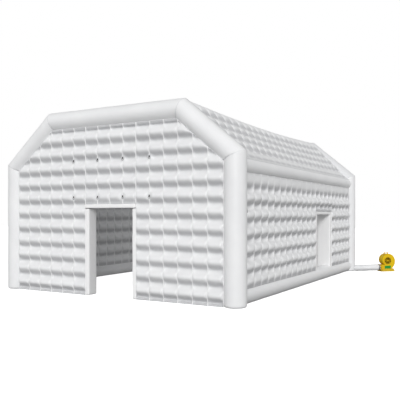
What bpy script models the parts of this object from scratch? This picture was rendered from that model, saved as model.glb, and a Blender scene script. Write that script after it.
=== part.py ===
"""An inflatable tent on round air tubes, with quilted air panels, its inflation sleeve and its blower.

Metres, +Z up, +Y from the front door to the rear. The origin is on the ground, under the middle of
everything that stands there, blower included. The tent's own centre is at tent_centre_x, tent_centre_y.
"""

import math

import bmesh
import bpy
from mathutils import Matrix, Vector

for old in list(bpy.data.objects):
    bpy.data.objects.remove(old, do_unlink=True)

# Fits
gap = 0.0003
pivot_gap = 0.0005
overrun = 0.02
smooth_angle = math.radians(40)
wire_smooth_angle = math.radians(65)

# Arches: two frames of round air tubes, one at the front and one at the rear
tube_radius = 0.215
post_spacing = 5.57
arch_spacing = 7.75
shoulder_height = 2.759
top_height = 3.712
top_width = 3.291
foot_round = 0.045
tube_sides = 24
foot_rings = 3

# Air beams that join the arches along each side, and the line of the side walls between them
side_inset = 0.035
eave_beam_radius = 0.165
eave_beam_drop = 0.139
base_beam_radius = 0.177
base_beam_settle = 0.006

# Quilted wall panels
wall_thickness = 0.25
wall_crown = 0.055
front_column = 0.325
front_row = 0.31
hem_height = 0.05
side_seam_inset = 0.285
side_columns = 21
side_row = 0.3223
side_first_seam = 0.26
least_strip = 0.05

# Quilted roof panels
roof_thickness = 0.19
roof_crown = 0.030
slope_rows = 5
top_columns = 9
roof_sag = 0.07
roof_lift = 0.085
slope_rise = 0.07

# Front doorway
door_side_columns = 2
front_jamb_width = 0.095
front_door_height = 1.82
front_lintel_depth = 0.09
lintel_proud = 0.045
jamb_round = 0.028
round_steps = 3

# Side doorway, over the base beam in the right wall
side_door_first_column = 12
side_door_columns = 4
side_jamb_width = 0.139
side_door_height = 1.69
side_lintel_depth = 0.09
side_lining_reach = 0.08

# Hanging rings on sewn tabs
ring_wire_radius = 0.003
ring_half_width = 0.020
ring_drop = 0.034
ring_corner = 0.006
ring_wire_sides = 6
ring_arc_steps = 6
tab_half_width = 0.0125
tab_height = 0.036
tab_ply = 0.004
tab_wall = 0.003
tab_eye_sides = 12
lower_ring_rise = 0.135
ring_row_spacing = 0.775
post_ring_height = 1.76
post_ring_facet = 1

# Deflation zip on the rear left post
zip_low = 0.25
zip_length = 0.55
zip_width = 0.040
zip_ply = 0.002
zip_coil_width = 0.007
zip_coil_height = 0.003
slider_width = 0.014
slider_length = 0.022
slider_height = 0.008
slider_pull_length = 0.035
slider_pull_width = 0.008
slider_pull_ply = 0.002
zip_facet = 8

# Blower: a scroll housing on a foot, with a guard, an impeller and a motor
blower_x = 1.015
blower_y = 0.475
blower_turn = math.radians(42.5)
scroll_height = 0.32
scroll_start_radius = 0.13
scroll_end_radius = 0.28
scroll_depth = 0.22
scroll_wall = 0.004
tongue_turn = math.radians(35)
scroll_steps = 26
outlet_reach = 0.21
spigot_radius = 0.080
spigot_length = 0.06
round_sides = 16
intake_radius = 0.105
guard_radius = 0.122
guard_depth = 0.006
guard_bar = 0.0035
guard_hub_radius = 0.026
guard_spokes = 8
guard_rings = 3
guard_steps = 3
wheel_radius = 0.112
wheel_inner_radius = 0.086
wheel_depth = 0.15
wheel_plate = 0.003
vane_ply = 0.0022
vane_count = 14
vane_lean = math.radians(14)
vane_curve_power = 1.6
vane_start_share = 0.25
vane_steps = 3
hub_radius = 0.022
hub_depth = 0.045
hub_nose_share = 0.7
hub_cone_share = 0.25
shaft_radius = 0.007
shaft_length = 0.030
motor_radius = 0.072
motor_length = 0.125
motor_fins = 4
motor_fin_depth = 0.005
motor_finned_share = 0.7
motor_groove_shares = (0.1, 0.5, 0.6)
motor_end_shares = (0.92, 0.70)
motor_sides = 16
box_width = 0.060
box_height = 0.034
box_length = 0.060
cord_gland_radius = 0.010
cord_gland_length = 0.018
cord_bore_radius = 0.005
rocker_width = 0.014
rocker_half_length = 0.011
rocker_rise = 0.005
rocker_dish = 0.0025
rocker_depth = 0.008
foot_width_low = 0.43
foot_width_high = 0.35
foot_height = 0.085
foot_lip = 0.020
foot_shift = 0.010
handle_width = 0.15
handle_top_width = 0.11
handle_rise = 0.044
handle_bar = 0.014
handle_depth = 0.028
plate_width = 0.20
plate_height = 0.085
plate_ply = 0.002

# Inflation sleeve and its strap
sleeve_radius = 0.090
sleeve_ply = 0.003
sleeve_grip = 0.052
sleeve_leave = math.radians(12)
sleeve_steps = 6
strap_width = 0.026
strap_ply = 0.003
strap_buckle_width = 0.030
strap_buckle_height = 0.012

# Places that follow from the sizes above
half_width = post_spacing / 2
half_length = arch_spacing / 2
half_top = top_width / 2
half_wall = wall_thickness / 2
half_roof = roof_thickness / 2
side_middle = half_width - side_inset
tent_right = half_width + tube_radius
tent_rear = half_length + tube_radius
eave_beam_height = shoulder_height - eave_beam_drop
base_beam_height = base_beam_radius - base_beam_settle
front_header_seam = front_door_height + front_lintel_depth
lower_ring_height = front_header_seam + lower_ring_rise
upper_ring_height = lower_ring_height + ring_row_spacing
sin_turn = math.sin(blower_turn)
cos_turn = math.cos(blower_turn)
scroll_widening = scroll_end_radius - scroll_start_radius
scroll_right = scroll_end_radius - scroll_widening / 4
half_scroll = scroll_depth / 2
foot_right = foot_width_low / 2 + foot_shift
motor_back = half_scroll + gap + motor_length
blower_reach_x = scroll_right * cos_turn + half_scroll * sin_turn
blower_reach_y = foot_right * sin_turn + motor_back * cos_turn
tent_centre_x = -(half_width + blower_x + blower_reach_x - tent_right) / 2
tent_centre_y = -(half_length + blower_y + blower_reach_y - tent_rear) / 2
tube_facet = math.tau / tube_sides
facet_reach = tube_radius * math.cos(tube_facet / 2)
x_axis = Vector((1, 0, 0))
y_axis = Vector((0, 1, 0))
z_axis = Vector((0, 0, 1))


def material(name, colour, roughness, metallic=0.0):
    """A plain surface finish."""
    made = bpy.data.materials.new(name)
    made.use_nodes = True
    shader = made.node_tree.nodes["Principled BSDF"]
    shader.inputs["Base Color"].default_value = (*colour, 1.0)
    shader.inputs["Roughness"].default_value = roughness
    shader.inputs["Metallic"].default_value = metallic
    made.diffuse_color = (*colour, 1.0)
    return made


white_tube = material("white coated tube fabric", (0.86, 0.87, 0.88), 0.42)
white_quilt = material("white coated quilt fabric", (0.84, 0.85, 0.86), 0.48)
white_lining = material("white door lining", (0.88, 0.88, 0.89), 0.45)
white_sleeve = material("white sleeve fabric", (0.82, 0.83, 0.85), 0.55)
black_web = material("black webbing", (0.03, 0.03, 0.035), 0.8)
black_plastic = material("black moulded plastic", (0.02, 0.02, 0.022), 0.4)
dark_steel = material("dark coated steel", (0.06, 0.06, 0.07), 0.45, 0.8)
yellow_plastic = material("yellow moulded plastic", (0.78, 0.56, 0.01), 0.38)
green_plate = material("green plate", (0.0, 0.28, 0.02), 0.4)
grey_zinc = material("grey zinc", (0.55, 0.56, 0.58), 0.35, 0.9)


def empty(name, location, turn=0.0):
    """A guide that other objects are placed by."""
    made = bpy.data.objects.new(name, None)
    made.location = location
    made.rotation_euler = (0, 0, turn)
    bpy.context.collection.objects.link(made)
    return made


tent_frame = empty("tent_frame", (tent_centre_x, tent_centre_y, 0))
blower_place = (half_width + blower_x, half_length + blower_y, 0)
blower_frame = empty("blower_frame", blower_place, blower_turn)
blower_frame.parent = tent_frame


def add(name, points, faces, surface, parent=None, smooth=None):
    """One object from points and faces, its faces turned outwards."""
    mesh = bpy.data.meshes.new(name)
    mesh.from_pydata([tuple(p) for p in points], [], faces)
    work = bmesh.new()
    work.from_mesh(mesh)
    bmesh.ops.recalc_face_normals(work, faces=work.faces)
    work.to_mesh(mesh)
    work.free()
    if smooth:
        mesh.shade_smooth()
        mesh.set_sharp_from_angle(angle=smooth)
    made = bpy.data.objects.new(name, mesh)
    if surface:
        mesh.materials.append(surface)
    made.parent = parent
    bpy.context.collection.objects.link(made)
    return made


def as_cutter(made):
    """Marks an object as a tool that shapes others and isn't a piece."""
    made.hide_render = True
    made.display_type = "WIRE"
    return made


def boolean(made, tool, operation):
    """Shapes an object with a tool."""
    step = made.modifiers.new(operation.lower(), "BOOLEAN")
    step.operation = operation
    step.solver = "EXACT"
    step.object = tool
    return made


def cut(made, *tools):
    """Cuts each tool out of an object."""
    for tool in tools:
        boolean(made, tool, "DIFFERENCE")
    return made


def loft(rings):
    """The faces between rings of equal count, with a flat cap at each end."""
    count = len(rings[0])
    points = [p for ring in rings for p in ring]
    faces = []
    for low in range(len(rings) - 1):
        for side in range(count):
            after = (side + 1) % count
            a = low * count + side
            b = low * count + after
            faces.append((a, b, b + count, a + count))
    faces.append(tuple(range(count)))
    last = (len(rings) - 1) * count
    faces.append(tuple(range(last, last + count)))
    return points, faces


def hollow_loft(outer, inner):
    """The faces of a pipe: rings of its outside, rings of its bore and a rim at each end."""
    count = len(outer[0])
    levels = len(outer)
    points = [p for ring in outer for p in ring] + [p for ring in inner for p in ring]
    faces = []
    for layer in (0, levels * count):
        for low in range(levels - 1):
            for side in range(count):
                a = layer + low * count + side
                b = layer + low * count + (side + 1) % count
                faces.append((a, b, b + count, a + count))
    for low in (0, levels - 1):
        for side in range(count):
            a = low * count + side
            b = low * count + (side + 1) % count
            faces.append((a, b, b + levels * count, a + levels * count))
    return points, faces


def ring(centre, across, upright, radius, sides, turn=0.0):
    """Points round a circle."""
    angles = [turn + math.tau * k / sides for k in range(sides)]
    return [centre + across * (radius * math.cos(a)) + upright * (radius * math.sin(a)) for a in angles]


def prism(outline, low, high, place):
    """An outline of pairs carried from low to high; place puts pair and level into space."""
    return loft([[place(u, v, level) for u, v in outline] for level in (low, high)])


# The arches. A corner list in the plane of an arch, from its left foot to its right foot.
arch_corners = [
    Vector((-half_width, 0, 0)),
    Vector((-half_width, 0, shoulder_height)),
    Vector((-half_top, 0, top_height)),
    Vector((half_top, 0, top_height)),
    Vector((half_width, 0, shoulder_height)),
    Vector((half_width, 0, 0)),
]
arch_tube_names = ["left_post", "left_shoulder", "top_beam", "right_shoulder", "right_post"]


def arch_mitre(corner):
    """The direction that a mitre ring is stretched in, and how far, at one corner of the arch."""
    here = arch_corners[corner]
    runs = []
    if corner > 0:
        runs.append((here - arch_corners[corner - 1]).normalized())
    if corner < len(arch_corners) - 1:
        runs.append((arch_corners[corner + 1] - here).normalized())
    through = sum(runs, Vector()).normalized()
    return through.cross(y_axis), through.dot(runs[0])


def arch_ring(corner, radius, arch_y, shift=Vector()):
    """The ring where two tubes of the arch meet, in the plane that halves the angle between them."""
    across, lean = arch_mitre(corner)
    centre = arch_corners[corner] + y_axis * arch_y + shift
    points = []
    for k in range(tube_sides):
        angle = k * tube_facet
        points.append(centre + (across * (math.cos(angle) / lean) + y_axis * math.sin(angle)) * radius)
    return points


def arch_tube(name, first, arch_y):
    """One straight tube of an arch, mitred to its neighbours, with a rounded end where it stands."""
    run = (arch_corners[first + 1] - arch_corners[first]).normalized()
    ends = []
    for corner, inward in ((first, run), (first + 1, -run)):
        if 0 < corner < len(arch_corners) - 1:
            lean = arch_mitre(corner)[1]
            ends.append([arch_ring(corner, tube_radius, arch_y, inward * (gap / 2 / lean))])
            continue
        rings = []
        for k in range(foot_rings + 1):
            angle = math.pi / 2 * k / foot_rings
            shrink = foot_round * (1 - math.sin(angle))
            rise = foot_round * (1 - math.cos(angle))
            rings.append(arch_ring(corner, tube_radius - shrink, arch_y, inward * rise))
        ends.append(rings)
    points, faces = loft(ends[0] + ends[1][::-1])
    return add(name, points, faces, white_tube, tent_frame, smooth_angle)


def arch_cutter(name, arch_y):
    """The whole arch as one bent tube, one gap wider, run out below the ground."""
    last = len(arch_corners) - 1
    rings = []
    for corner in range(last + 1):
        shift = Vector() if 0 < corner < last else z_axis * -overrun
        rings.append(arch_ring(corner, tube_radius + gap, arch_y, shift))
    points, faces = loft(rings)
    return as_cutter(add(name, points, faces, None, tent_frame))


arches = {"front": -half_length, "rear": half_length}
arch_cutters = []
for end_name, arch_y in arches.items():
    for first, tube_name in enumerate(arch_tube_names):
        arch_tube(f"{end_name}_{tube_name}", first, arch_y)
    arch_cutters.append(arch_cutter(f"{end_name}_arch_cutter", arch_y))


# The beams along the sides, their ends shaped to the round posts
def side_beam(name, side, height, radius, extra, surface):
    """A round beam from arch to arch."""
    reach = half_length + extra
    rings = []
    for y in (-reach, reach):
        centre = Vector((side * side_middle, y, height))
        rings.append(ring(centre, x_axis, z_axis, radius, tube_sides))
    points, faces = loft(rings)
    return add(name, points, faces, surface, tent_frame, smooth_angle)


ground = bmesh.new()
bmesh.ops.create_cube(ground, size=1)
ground_reach = arch_spacing + post_spacing
bmesh.ops.scale(ground, vec=(ground_reach, ground_reach, overrun), verts=ground.verts)
bmesh.ops.translate(ground, vec=(0, 0, -overrun / 2), verts=ground.verts)
ground_mesh = bpy.data.meshes.new("ground_cutter")
ground.to_mesh(ground_mesh)
ground.free()
ground_cutter = bpy.data.objects.new("ground_cutter", ground_mesh)
ground_cutter.parent = tent_frame
bpy.context.collection.objects.link(ground_cutter)
as_cutter(ground_cutter)

beam_cutters = {}
for side_name, side in (("left", -1), ("right", 1)):
    eave = side_beam(f"{side_name}_eave_beam", side, eave_beam_height, eave_beam_radius, 0, white_tube)
    cut(eave, *arch_cutters)
    base = side_beam(f"{side_name}_base_beam", side, base_beam_height, base_beam_radius, 0, white_tube)
    cut(base, *arch_cutters, ground_cutter)
    for level, height, radius in (
        ("eave", eave_beam_height, eave_beam_radius),
        ("base", base_beam_height, base_beam_radius),
    ):
        name = f"{side_name}_{level}_cutter"
        beam_cutters[side_name, level] = as_cutter(
            side_beam(name, side, height, radius + gap, overrun, None)
        )


# The quilted panels. Each cell between the sewn seams swells into a low crown on both faces.
def seams(start, stop, pitch):
    """Seam lines at a pitch from start, ended by stop."""
    lines = [start]
    while lines[-1] + pitch < stop - least_strip:
        lines.append(lines[-1] + pitch)
    return lines + [stop]


def even(start, stop, count):
    """Seam lines that share a length equally."""
    return [start + (stop - start) * k / count for k in range(count + 1)]


def quilt(name, plane, columns, rows, flat, depths, plain_inside=True, slants=None, clips=(), bend=None):
    """A panel between two grids of seams, on both sides of its middle plane.

    plane is its origin and the directions along its columns and up its rows. flat holds the outer
    strips that stay flat, out of left, right, bottom and top. depths are its thickness at the seams
    and the height of a crown. The inside is plain where nothing shows it. slants gives how far an
    edge leans out, per length outwards. clips are planes, each a point and the direction that is
    cleared away. bend moves the finished points.
    """
    origin, along, up = plane
    thickness, crown = depths
    outward = along.cross(up)
    half = thickness / 2
    lean = {"left": 0, "right": 0, "bottom": 0, "top": 0, **(slants or {})}
    width = len(rows)
    last_column = len(columns) - 1
    last_row = len(rows) - 1
    layer = len(columns) * width

    def seam_point(i, j, h):
        u = columns[i] + h * ((i == last_column) * lean["right"] - (i == 0) * lean["left"])
        v = rows[j] + h * ((j == last_row) * lean["top"] - (j == 0) * lean["bottom"])
        return origin + along * u + up * v + outward * h

    def puffed(i, j):
        low_strips = {"left": i, "bottom": j}
        high_strips = {"right": last_column - 1 - i, "top": last_row - 1 - j}
        strips = {**low_strips, **high_strips}
        return all(strips[strip] for strip in flat)

    points = [seam_point(i, j, h) for h in (half, -half) for i in range(len(columns)) for j in range(width)]
    faces = []
    for side, h in enumerate((half + crown, -half - crown)):
        for i in range(last_column):
            low = side * layer + i * width
            if side == 1 and plain_inside:
                faces.append((low, low + width, low + width + last_row, low + last_row))
                continue
            for j in range(last_row):
                corners = [low + j, low + width + j, low + width + j + 1, low + j + 1]
                if not puffed(i, j):
                    faces.append(tuple(corners))
                    continue
                u = (columns[i] + columns[i + 1]) / 2
                v = (rows[j] + rows[j + 1]) / 2
                faces.extend((corners[k - 1], corners[k], len(points)) for k in range(4))
                points.append(origin + along * u + up * v + outward * h)
    for end in (0, last_column * width):
        outside = list(range(end, end + width))
        back = [outside[-1], outside[0]] if plain_inside else outside[::-1]
        faces.append(tuple(outside + [layer + k for k in back]))
    for i in range(last_column):
        for a in (i * width, i * width + last_row):
            faces.append((a, a + width, layer + a + width, layer + a))
    made = add(name, points, faces, white_quilt, tent_frame)
    work = bmesh.new()
    work.from_mesh(made.data)
    bmesh.ops.delete(work, geom=[v for v in work.verts if not v.link_faces], context="VERTS")
    for point, clear in clips:
        halved = bmesh.ops.bisect_plane(
            work,
            geom=work.verts[:] + work.edges[:] + work.faces[:],
            plane_co=point,
            plane_no=clear,
            clear_outer=True,
        )
        open_edges = [e for e in halved["geom_cut"] if isinstance(e, bmesh.types.BMEdge)]
        bmesh.ops.edgenet_fill(work, edges=open_edges)
    bmesh.ops.triangulate(work, faces=work.faces)
    if bend:
        for vertex in work.verts:
            vertex.co = bend(vertex.co)
    bmesh.ops.recalc_face_normals(work, faces=work.faces)
    work.to_mesh(made.data)
    work.free()
    return made


wall_depths = (wall_thickness, wall_crown)
roof_depths = (roof_thickness, roof_crown)
door_seam = door_side_columns * front_column
shoulder_run = (arch_corners[2] - arch_corners[1]).normalized()


def shoulder_clip(side, arch_y):
    """The plane down the middle of a shoulder tube; what lies above it is cleared away."""
    corner = arch_corners[1] if side < 0 else arch_corners[4]
    return corner + y_axis * arch_y, Vector((side * shoulder_run.z, 0, shoulder_run.x))


front_origin = Vector((0, -half_length, 0))
rear_origin = Vector((0, half_length, 0))
wall_rows = [0] + seams(hem_height, top_height, front_row)
header_rows = seams(front_header_seam, top_height, front_row)
outer_columns = seams(door_seam, half_width, front_column)
door_columns = [k * front_column for k in range(1 - door_side_columns, door_side_columns)]
for side_name, side in (("left", -1), ("right", 1)):
    wall = quilt(
        f"front_wall_{side_name}",
        (front_origin, x_axis, z_axis),
        [side * x for x in outer_columns][::side],
        wall_rows,
        {side_name, "bottom", "top"},
        wall_depths,
        clips=[shoulder_clip(side, -half_length)],
    )
    cut(wall, arch_cutters[0], beam_cutters[side_name, "base"], beam_cutters[side_name, "eave"])
header = quilt(
    "front_wall_header",
    (front_origin, x_axis, z_axis),
    [-door_seam + gap] + door_columns + [door_seam - gap],
    header_rows,
    {"top"},
    wall_depths,
)
cut(header, arch_cutters[0])
rear = quilt(
    "rear_wall",
    (rear_origin, -x_axis, z_axis),
    [-x for x in outer_columns[::-1]] + door_columns + outer_columns,
    wall_rows,
    {"left", "right", "bottom", "top"},
    wall_depths,
    plain_inside=False,
    clips=[shoulder_clip(-1, half_length), shoulder_clip(1, half_length)],
)
cut(rear, arch_cutters[1], *beam_cutters.values())

# The side walls stand between the base beam and the eave beam
inner_reach = half_length - side_seam_inset
side_seams = even(-inner_reach, inner_reach, side_columns)
side_lines = [-half_length] + side_seams + [half_length]
side_rows = [base_beam_height] + seams(side_first_seam, eave_beam_height, side_row)


def side_wall(name, side, columns, rows, flat, tools, plain_inside=True):
    """A quilted panel along one side of the tent."""
    made = quilt(
        name,
        (Vector((side * side_middle, 0, 0)), side * y_axis, z_axis),
        columns,
        rows,
        flat,
        wall_depths,
        plain_inside,
    )
    return cut(made, *tools)


left_tools = [*arch_cutters, beam_cutters["left", "eave"], beam_cutters["left", "base"]]
side_wall("left_wall", -1, side_lines, side_rows, {"left", "right", "bottom", "top"}, left_tools, False)
right_eave = beam_cutters["right", "eave"]
right_base = beam_cutters["right", "base"]
door_front_line = side_door_first_column + 1
door_rear_line = door_front_line + side_door_columns
door_front_y = side_lines[door_front_line]
door_rear_y = side_lines[door_rear_line]
side_wall(
    "right_wall_front",
    1,
    side_lines[: door_front_line + 1],
    side_rows,
    {"left", "bottom", "top"},
    [arch_cutters[0], right_eave, right_base],
)
side_wall(
    "right_wall_rear",
    1,
    side_lines[door_rear_line:],
    side_rows,
    {"right", "bottom", "top"},
    [arch_cutters[1], right_eave, right_base],
)
side_header_low = side_door_height + side_lintel_depth
side_header_lines = side_lines[door_front_line : door_rear_line + 1]
side_header_lines[0] += gap
side_header_lines[-1] -= gap
header_side_rows = [side_header_low] + [z for z in side_rows if z > side_header_low + least_strip]
side_wall("right_wall_header", 1, side_header_lines, header_side_rows, {"bottom", "top"}, [right_eave])

# The roof: a slope from each eave beam and a level top, which sag a little between the arches.
# Its middle lies a lift above the middle of the arches' top beams.
shoulder_angle = math.atan2(shoulder_run.z, shoulder_run.x)
eave_point = Vector((side_middle, 0, eave_beam_height + slope_rise))
roof_corner = Vector((half_top + roof_lift * math.tan(shoulder_angle / 2), 0, top_height + roof_lift))
slope_length = (roof_corner - eave_point).length
slope_angle = math.atan2(roof_corner.z - eave_point.z, eave_point.x - roof_corner.x)
corner_slant = math.tan(slope_angle / 2)
corner_gap = gap / 2 / math.cos(slope_angle / 2)
slope_outside = slope_rise * math.cos(slope_angle) + half_roof
slope_first = math.sqrt(eave_beam_radius**2 - slope_outside**2) - slope_rise * math.sin(slope_angle)
sag_low = eave_beam_height
sag_high = roof_corner.z - half_roof


def sagged(point):
    """The same point on the sagging roof: lowest midway between the arches, level at the eaves."""
    along = max(0.0, 1 - (point.y / inner_reach) ** 2)
    share = min(1.0, max(0.0, (point.z - sag_low) / (sag_high - sag_low)))
    return Vector((point.x, point.y, point.z - roof_sag * along * share))


for side_name, side in (("left", -1), ("right", 1)):
    climb = Vector((-side * math.cos(slope_angle), 0, math.sin(slope_angle)))
    slope = quilt(
        f"roof_{side_name}_slope",
        (Vector((side * eave_point.x, 0, eave_point.z)), side * y_axis, climb),
        side_lines,
        [0] + even(slope_first, slope_length - corner_gap, slope_rows),
        {"left", "right", "bottom"},
        roof_depths,
        slants={"top": corner_slant},
        bend=sagged,
    )
    cut(slope, *arch_cutters, beam_cutters[side_name, "eave"])
roof_top = quilt(
    "roof_top",
    (z_axis * roof_corner.z, y_axis, -x_axis),
    side_lines,
    even(-roof_corner.x + corner_gap, roof_corner.x - corner_gap, top_columns),
    {"left", "right"},
    roof_depths,
    slants={"bottom": corner_slant, "top": corner_slant},
    bend=sagged,
)
cut(roof_top, *arch_cutters)


# The door linings: soft square-cut air tubes with rounded edges
def block(name, low, high, surface, parent, rounding=0.0):
    """A box between two corners, with rounded edges."""
    outline = [(low[0], low[1]), (high[0], low[1]), (high[0], high[1]), (low[0], high[1])]
    points, faces = prism(outline, low[2], high[2], lambda u, v, level: Vector((u, v, level)))
    made = add(name, points, faces, surface, parent, smooth_angle)
    if rounding:
        soften(made, rounding)
    return made


def soften(made, rounding):
    """Rounds every edge of an object."""
    step = made.modifiers.new("rounded edges", "BEVEL")
    step.width = rounding
    step.segments = round_steps
    step.limit_method = "ANGLE"
    step.angle_limit = smooth_angle


front_low = -half_length - half_wall
front_high = -half_length + half_wall
door_half = door_seam - front_jamb_width
for side_name, side in (("left", -1), ("right", 1)):
    edges = sorted((side * door_half, side * (door_seam - gap)))
    block(
        f"front_door_{side_name}_jamb",
        (edges[0], front_low, 0),
        (edges[1], front_high, front_door_height),
        white_lining,
        tent_frame,
        jamb_round,
    )
block(
    "front_door_lintel",
    (-door_seam + gap, front_low - lintel_proud, front_door_height + gap),
    (door_seam - gap, front_high, front_header_seam - gap),
    white_lining,
    tent_frame,
    jamb_round,
)

frame_outline = [
    (door_front_y + gap, base_beam_height),
    (door_front_y + side_jamb_width, base_beam_height),
    (door_front_y + side_jamb_width, side_door_height),
    (door_rear_y - side_jamb_width, side_door_height),
    (door_rear_y - side_jamb_width, base_beam_height),
    (door_rear_y - gap, base_beam_height),
    (door_rear_y - gap, side_header_low - gap),
    (door_front_y + gap, side_header_low - gap),
]
points, faces = prism(
    frame_outline,
    side_middle - half_wall - side_lining_reach,
    side_middle + half_wall,
    lambda u, v, level: Vector((level, u, v)),
)
side_door_frame = add("side_door_frame", points, faces, white_lining, tent_frame, smooth_angle)
soften(side_door_frame, jamb_round)
cut(side_door_frame, right_base)


# Rings on sewn tabs. Each ring swings on its straight bar, which runs through the eye of its tab.
tab_eye_radius = ring_wire_radius + pivot_gap
tab_nose = tab_eye_radius + tab_wall


def ring_path():
    """The middle line of a ring, hanging from its bar along X."""
    half_bar = ring_half_width - ring_corner
    side_line = [(half_bar, 0.0)]
    for k in (1, 2):
        angle = math.pi / 4 * k
        side_line.append((half_bar + ring_corner * math.sin(angle), -ring_corner * (1 - math.cos(angle))))
    arc_top = -ring_corner
    arc_depth = ring_drop - ring_corner
    arc = []
    for k in range(1, ring_arc_steps):
        angle = math.pi * k / ring_arc_steps
        arc.append((ring_half_width * math.cos(angle), arc_top - arc_depth * math.sin(angle)))
    return side_line + arc + [(-x, z) for x, z in side_line[::-1]]


def hanging_ring(name, parent):
    """A closed loop of round wire."""
    path = [Vector((x, 0, z)) for x, z in ring_path()]
    count = len(path)
    points = []
    for k, here in enumerate(path):
        into = (here - path[k - 1]).normalized()
        out = (path[(k + 1) % count] - here).normalized()
        through = (into + out).normalized()
        across = through.cross(y_axis)
        stretch = 1 / through.dot(into)
        for side in range(ring_wire_sides):
            angle = math.tau * side / ring_wire_sides
            offset = across * (math.cos(angle) * stretch) + y_axis * math.sin(angle)
            points.append(here + offset * ring_wire_radius)
    faces = []
    for k in range(count):
        for side in range(ring_wire_sides):
            after = (side + 1) % ring_wire_sides
            following = (k + 1) % count
            faces.append(
                (
                    k * ring_wire_sides + side,
                    k * ring_wire_sides + after,
                    following * ring_wire_sides + after,
                    following * ring_wire_sides + side,
                )
            )
    return add(name, points, faces, dark_steel, parent, wire_smooth_angle)


def sewn_tab(name, parent):
    """A folded strap with an eye for the bar, sewn flat to what is behind it."""
    reach = tab_nose / math.cos(math.pi / tab_eye_sides)
    outline = []
    for k in range(tab_eye_sides):
        angle = math.tau * (k + 0.5) / tab_eye_sides
        y, z = math.sin(angle), math.cos(angle)
        outline.append((min(reach * y, tab_nose), reach * z))
    outline[0] = (tab_nose, tab_height)
    outline[1] = (tab_nose, reach * math.cos(math.tau * 1.5 / tab_eye_sides))
    outline[tab_eye_sides - 1] = (tab_nose - tab_ply, tab_height)
    eye = []
    for k in range(tab_eye_sides):
        angle = math.tau * (k + 0.5) / tab_eye_sides
        eye.append((tab_eye_radius * math.sin(angle), tab_eye_radius * math.cos(angle)))
    levels = (-tab_half_width, tab_half_width)
    outer = [[Vector((x, y, z)) for y, z in outline] for x in levels]
    inner = [[Vector((x, y, z)) for y, z in eye] for x in levels]
    points, faces = hollow_loft(outer, inner)
    return add(name, points, faces, black_web, parent)


def ring_and_tab(name, place, facing):
    """A tab and its ring at a place on a surface; facing is the way the surface looks, round Z."""
    turn = facing + math.pi / 2
    out = Vector((math.cos(facing), math.sin(facing), 0))
    guide = empty(f"{name}_guide", place + out * (gap + tab_nose), turn)
    guide.parent = tent_frame
    sewn_tab(f"{name}_tab", guide)
    hanging_ring(f"{name}_ring", guide)


# A tab bridges the dip along its seam, so its back stands as far out as the quilt swells beside it
dip = wall_crown * tab_half_width / (front_column / 2)
banner_y = -half_length - half_wall - dip
ring_columns = (-3, -1, 1, 3)
for level_name, height in (("upper", upper_ring_height), ("lower", lower_ring_height)):
    for number, column in enumerate(ring_columns, 1):
        place = Vector((column * front_column, banner_y, height))
        ring_and_tab(f"{level_name}_banner_{number}", place, -math.pi / 2)
for side_name, side in (("left", -1), ("right", 1)):
    bearing = (post_ring_facet + 0.5) * tube_facet
    facing = bearing if side > 0 else math.pi - bearing
    out = Vector((math.cos(facing), math.sin(facing), 0))
    place = Vector((side * half_width, -half_length, post_ring_height)) + out * facet_reach
    ring_and_tab(f"{side_name}_guy", place, facing)

# The deflation zip, on a facet of the rear left post
zip_facing = (zip_facet + 0.5) * tube_facet
zip_out = Vector((math.cos(zip_facing), math.sin(zip_facing), 0))
zip_foot = Vector((-half_width, half_length, zip_low)) + zip_out * (facet_reach + gap)
zip_guide = empty("zip_guide", zip_foot, zip_facing + math.pi / 2)
zip_guide.parent = tent_frame


def upright(name, outline, low, high, surface, parent):
    """An outline in plan, x and distance out, carried up from low to high."""
    points, faces = prism(outline, low, high, lambda u, v, level: Vector((u, -v, level)))
    return add(name, points, faces, surface, parent)


half_tape = zip_width / 2
half_coil = zip_coil_width / 2
coil_face = zip_ply + zip_coil_height
tape_outline = [
    (-half_tape, 0),
    (half_tape, 0),
    (half_tape, zip_ply),
    (half_coil, zip_ply),
    (half_coil, coil_face),
    (-half_coil, coil_face),
    (-half_coil, zip_ply),
    (-half_tape, zip_ply),
]
upright("deflation_zip", tape_outline, 0, zip_length, white_sleeve, zip_guide)
half_slider = slider_width / 2
slider_low = zip_ply + gap
slider_high = zip_ply + slider_height
slot_half = half_coil + gap
slot_high = coil_face + gap
slider_outline = [
    (-half_slider, slider_low),
    (-slot_half, slider_low),
    (-slot_half, slot_high),
    (slot_half, slot_high),
    (slot_half, slider_low),
    (half_slider, slider_low),
    (half_slider, slider_high),
    (-half_slider, slider_high),
]
slider = upright("zip_slider", slider_outline, 0, slider_length, grey_zinc, zip_guide)
half_pull = slider_pull_width / 2
pull_outline = [
    (-half_pull, slider_high - slider_pull_ply),
    (half_pull, slider_high - slider_pull_ply),
    (half_pull, slider_high + slider_pull_ply),
    (-half_pull, slider_high + slider_pull_ply),
]
pull_high = slider_length / 3
pull_low = pull_high - slider_pull_length
pull = upright("slider_pull_shape", pull_outline, pull_low, pull_high, None, zip_guide)
boolean(slider, as_cutter(pull), "UNION")


# The blower housing. A spiral wall widens from the tongue to the outlet, which faces the tent.
def face_on(u, v, level):
    """A pair across the face and up it, at a depth."""
    return Vector((u, level, v))


def scroll_radius(turn):
    """The spiral's radius, turned clockwise from straight down as seen from the front."""
    return scroll_start_radius + scroll_widening * turn / math.tau


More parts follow.
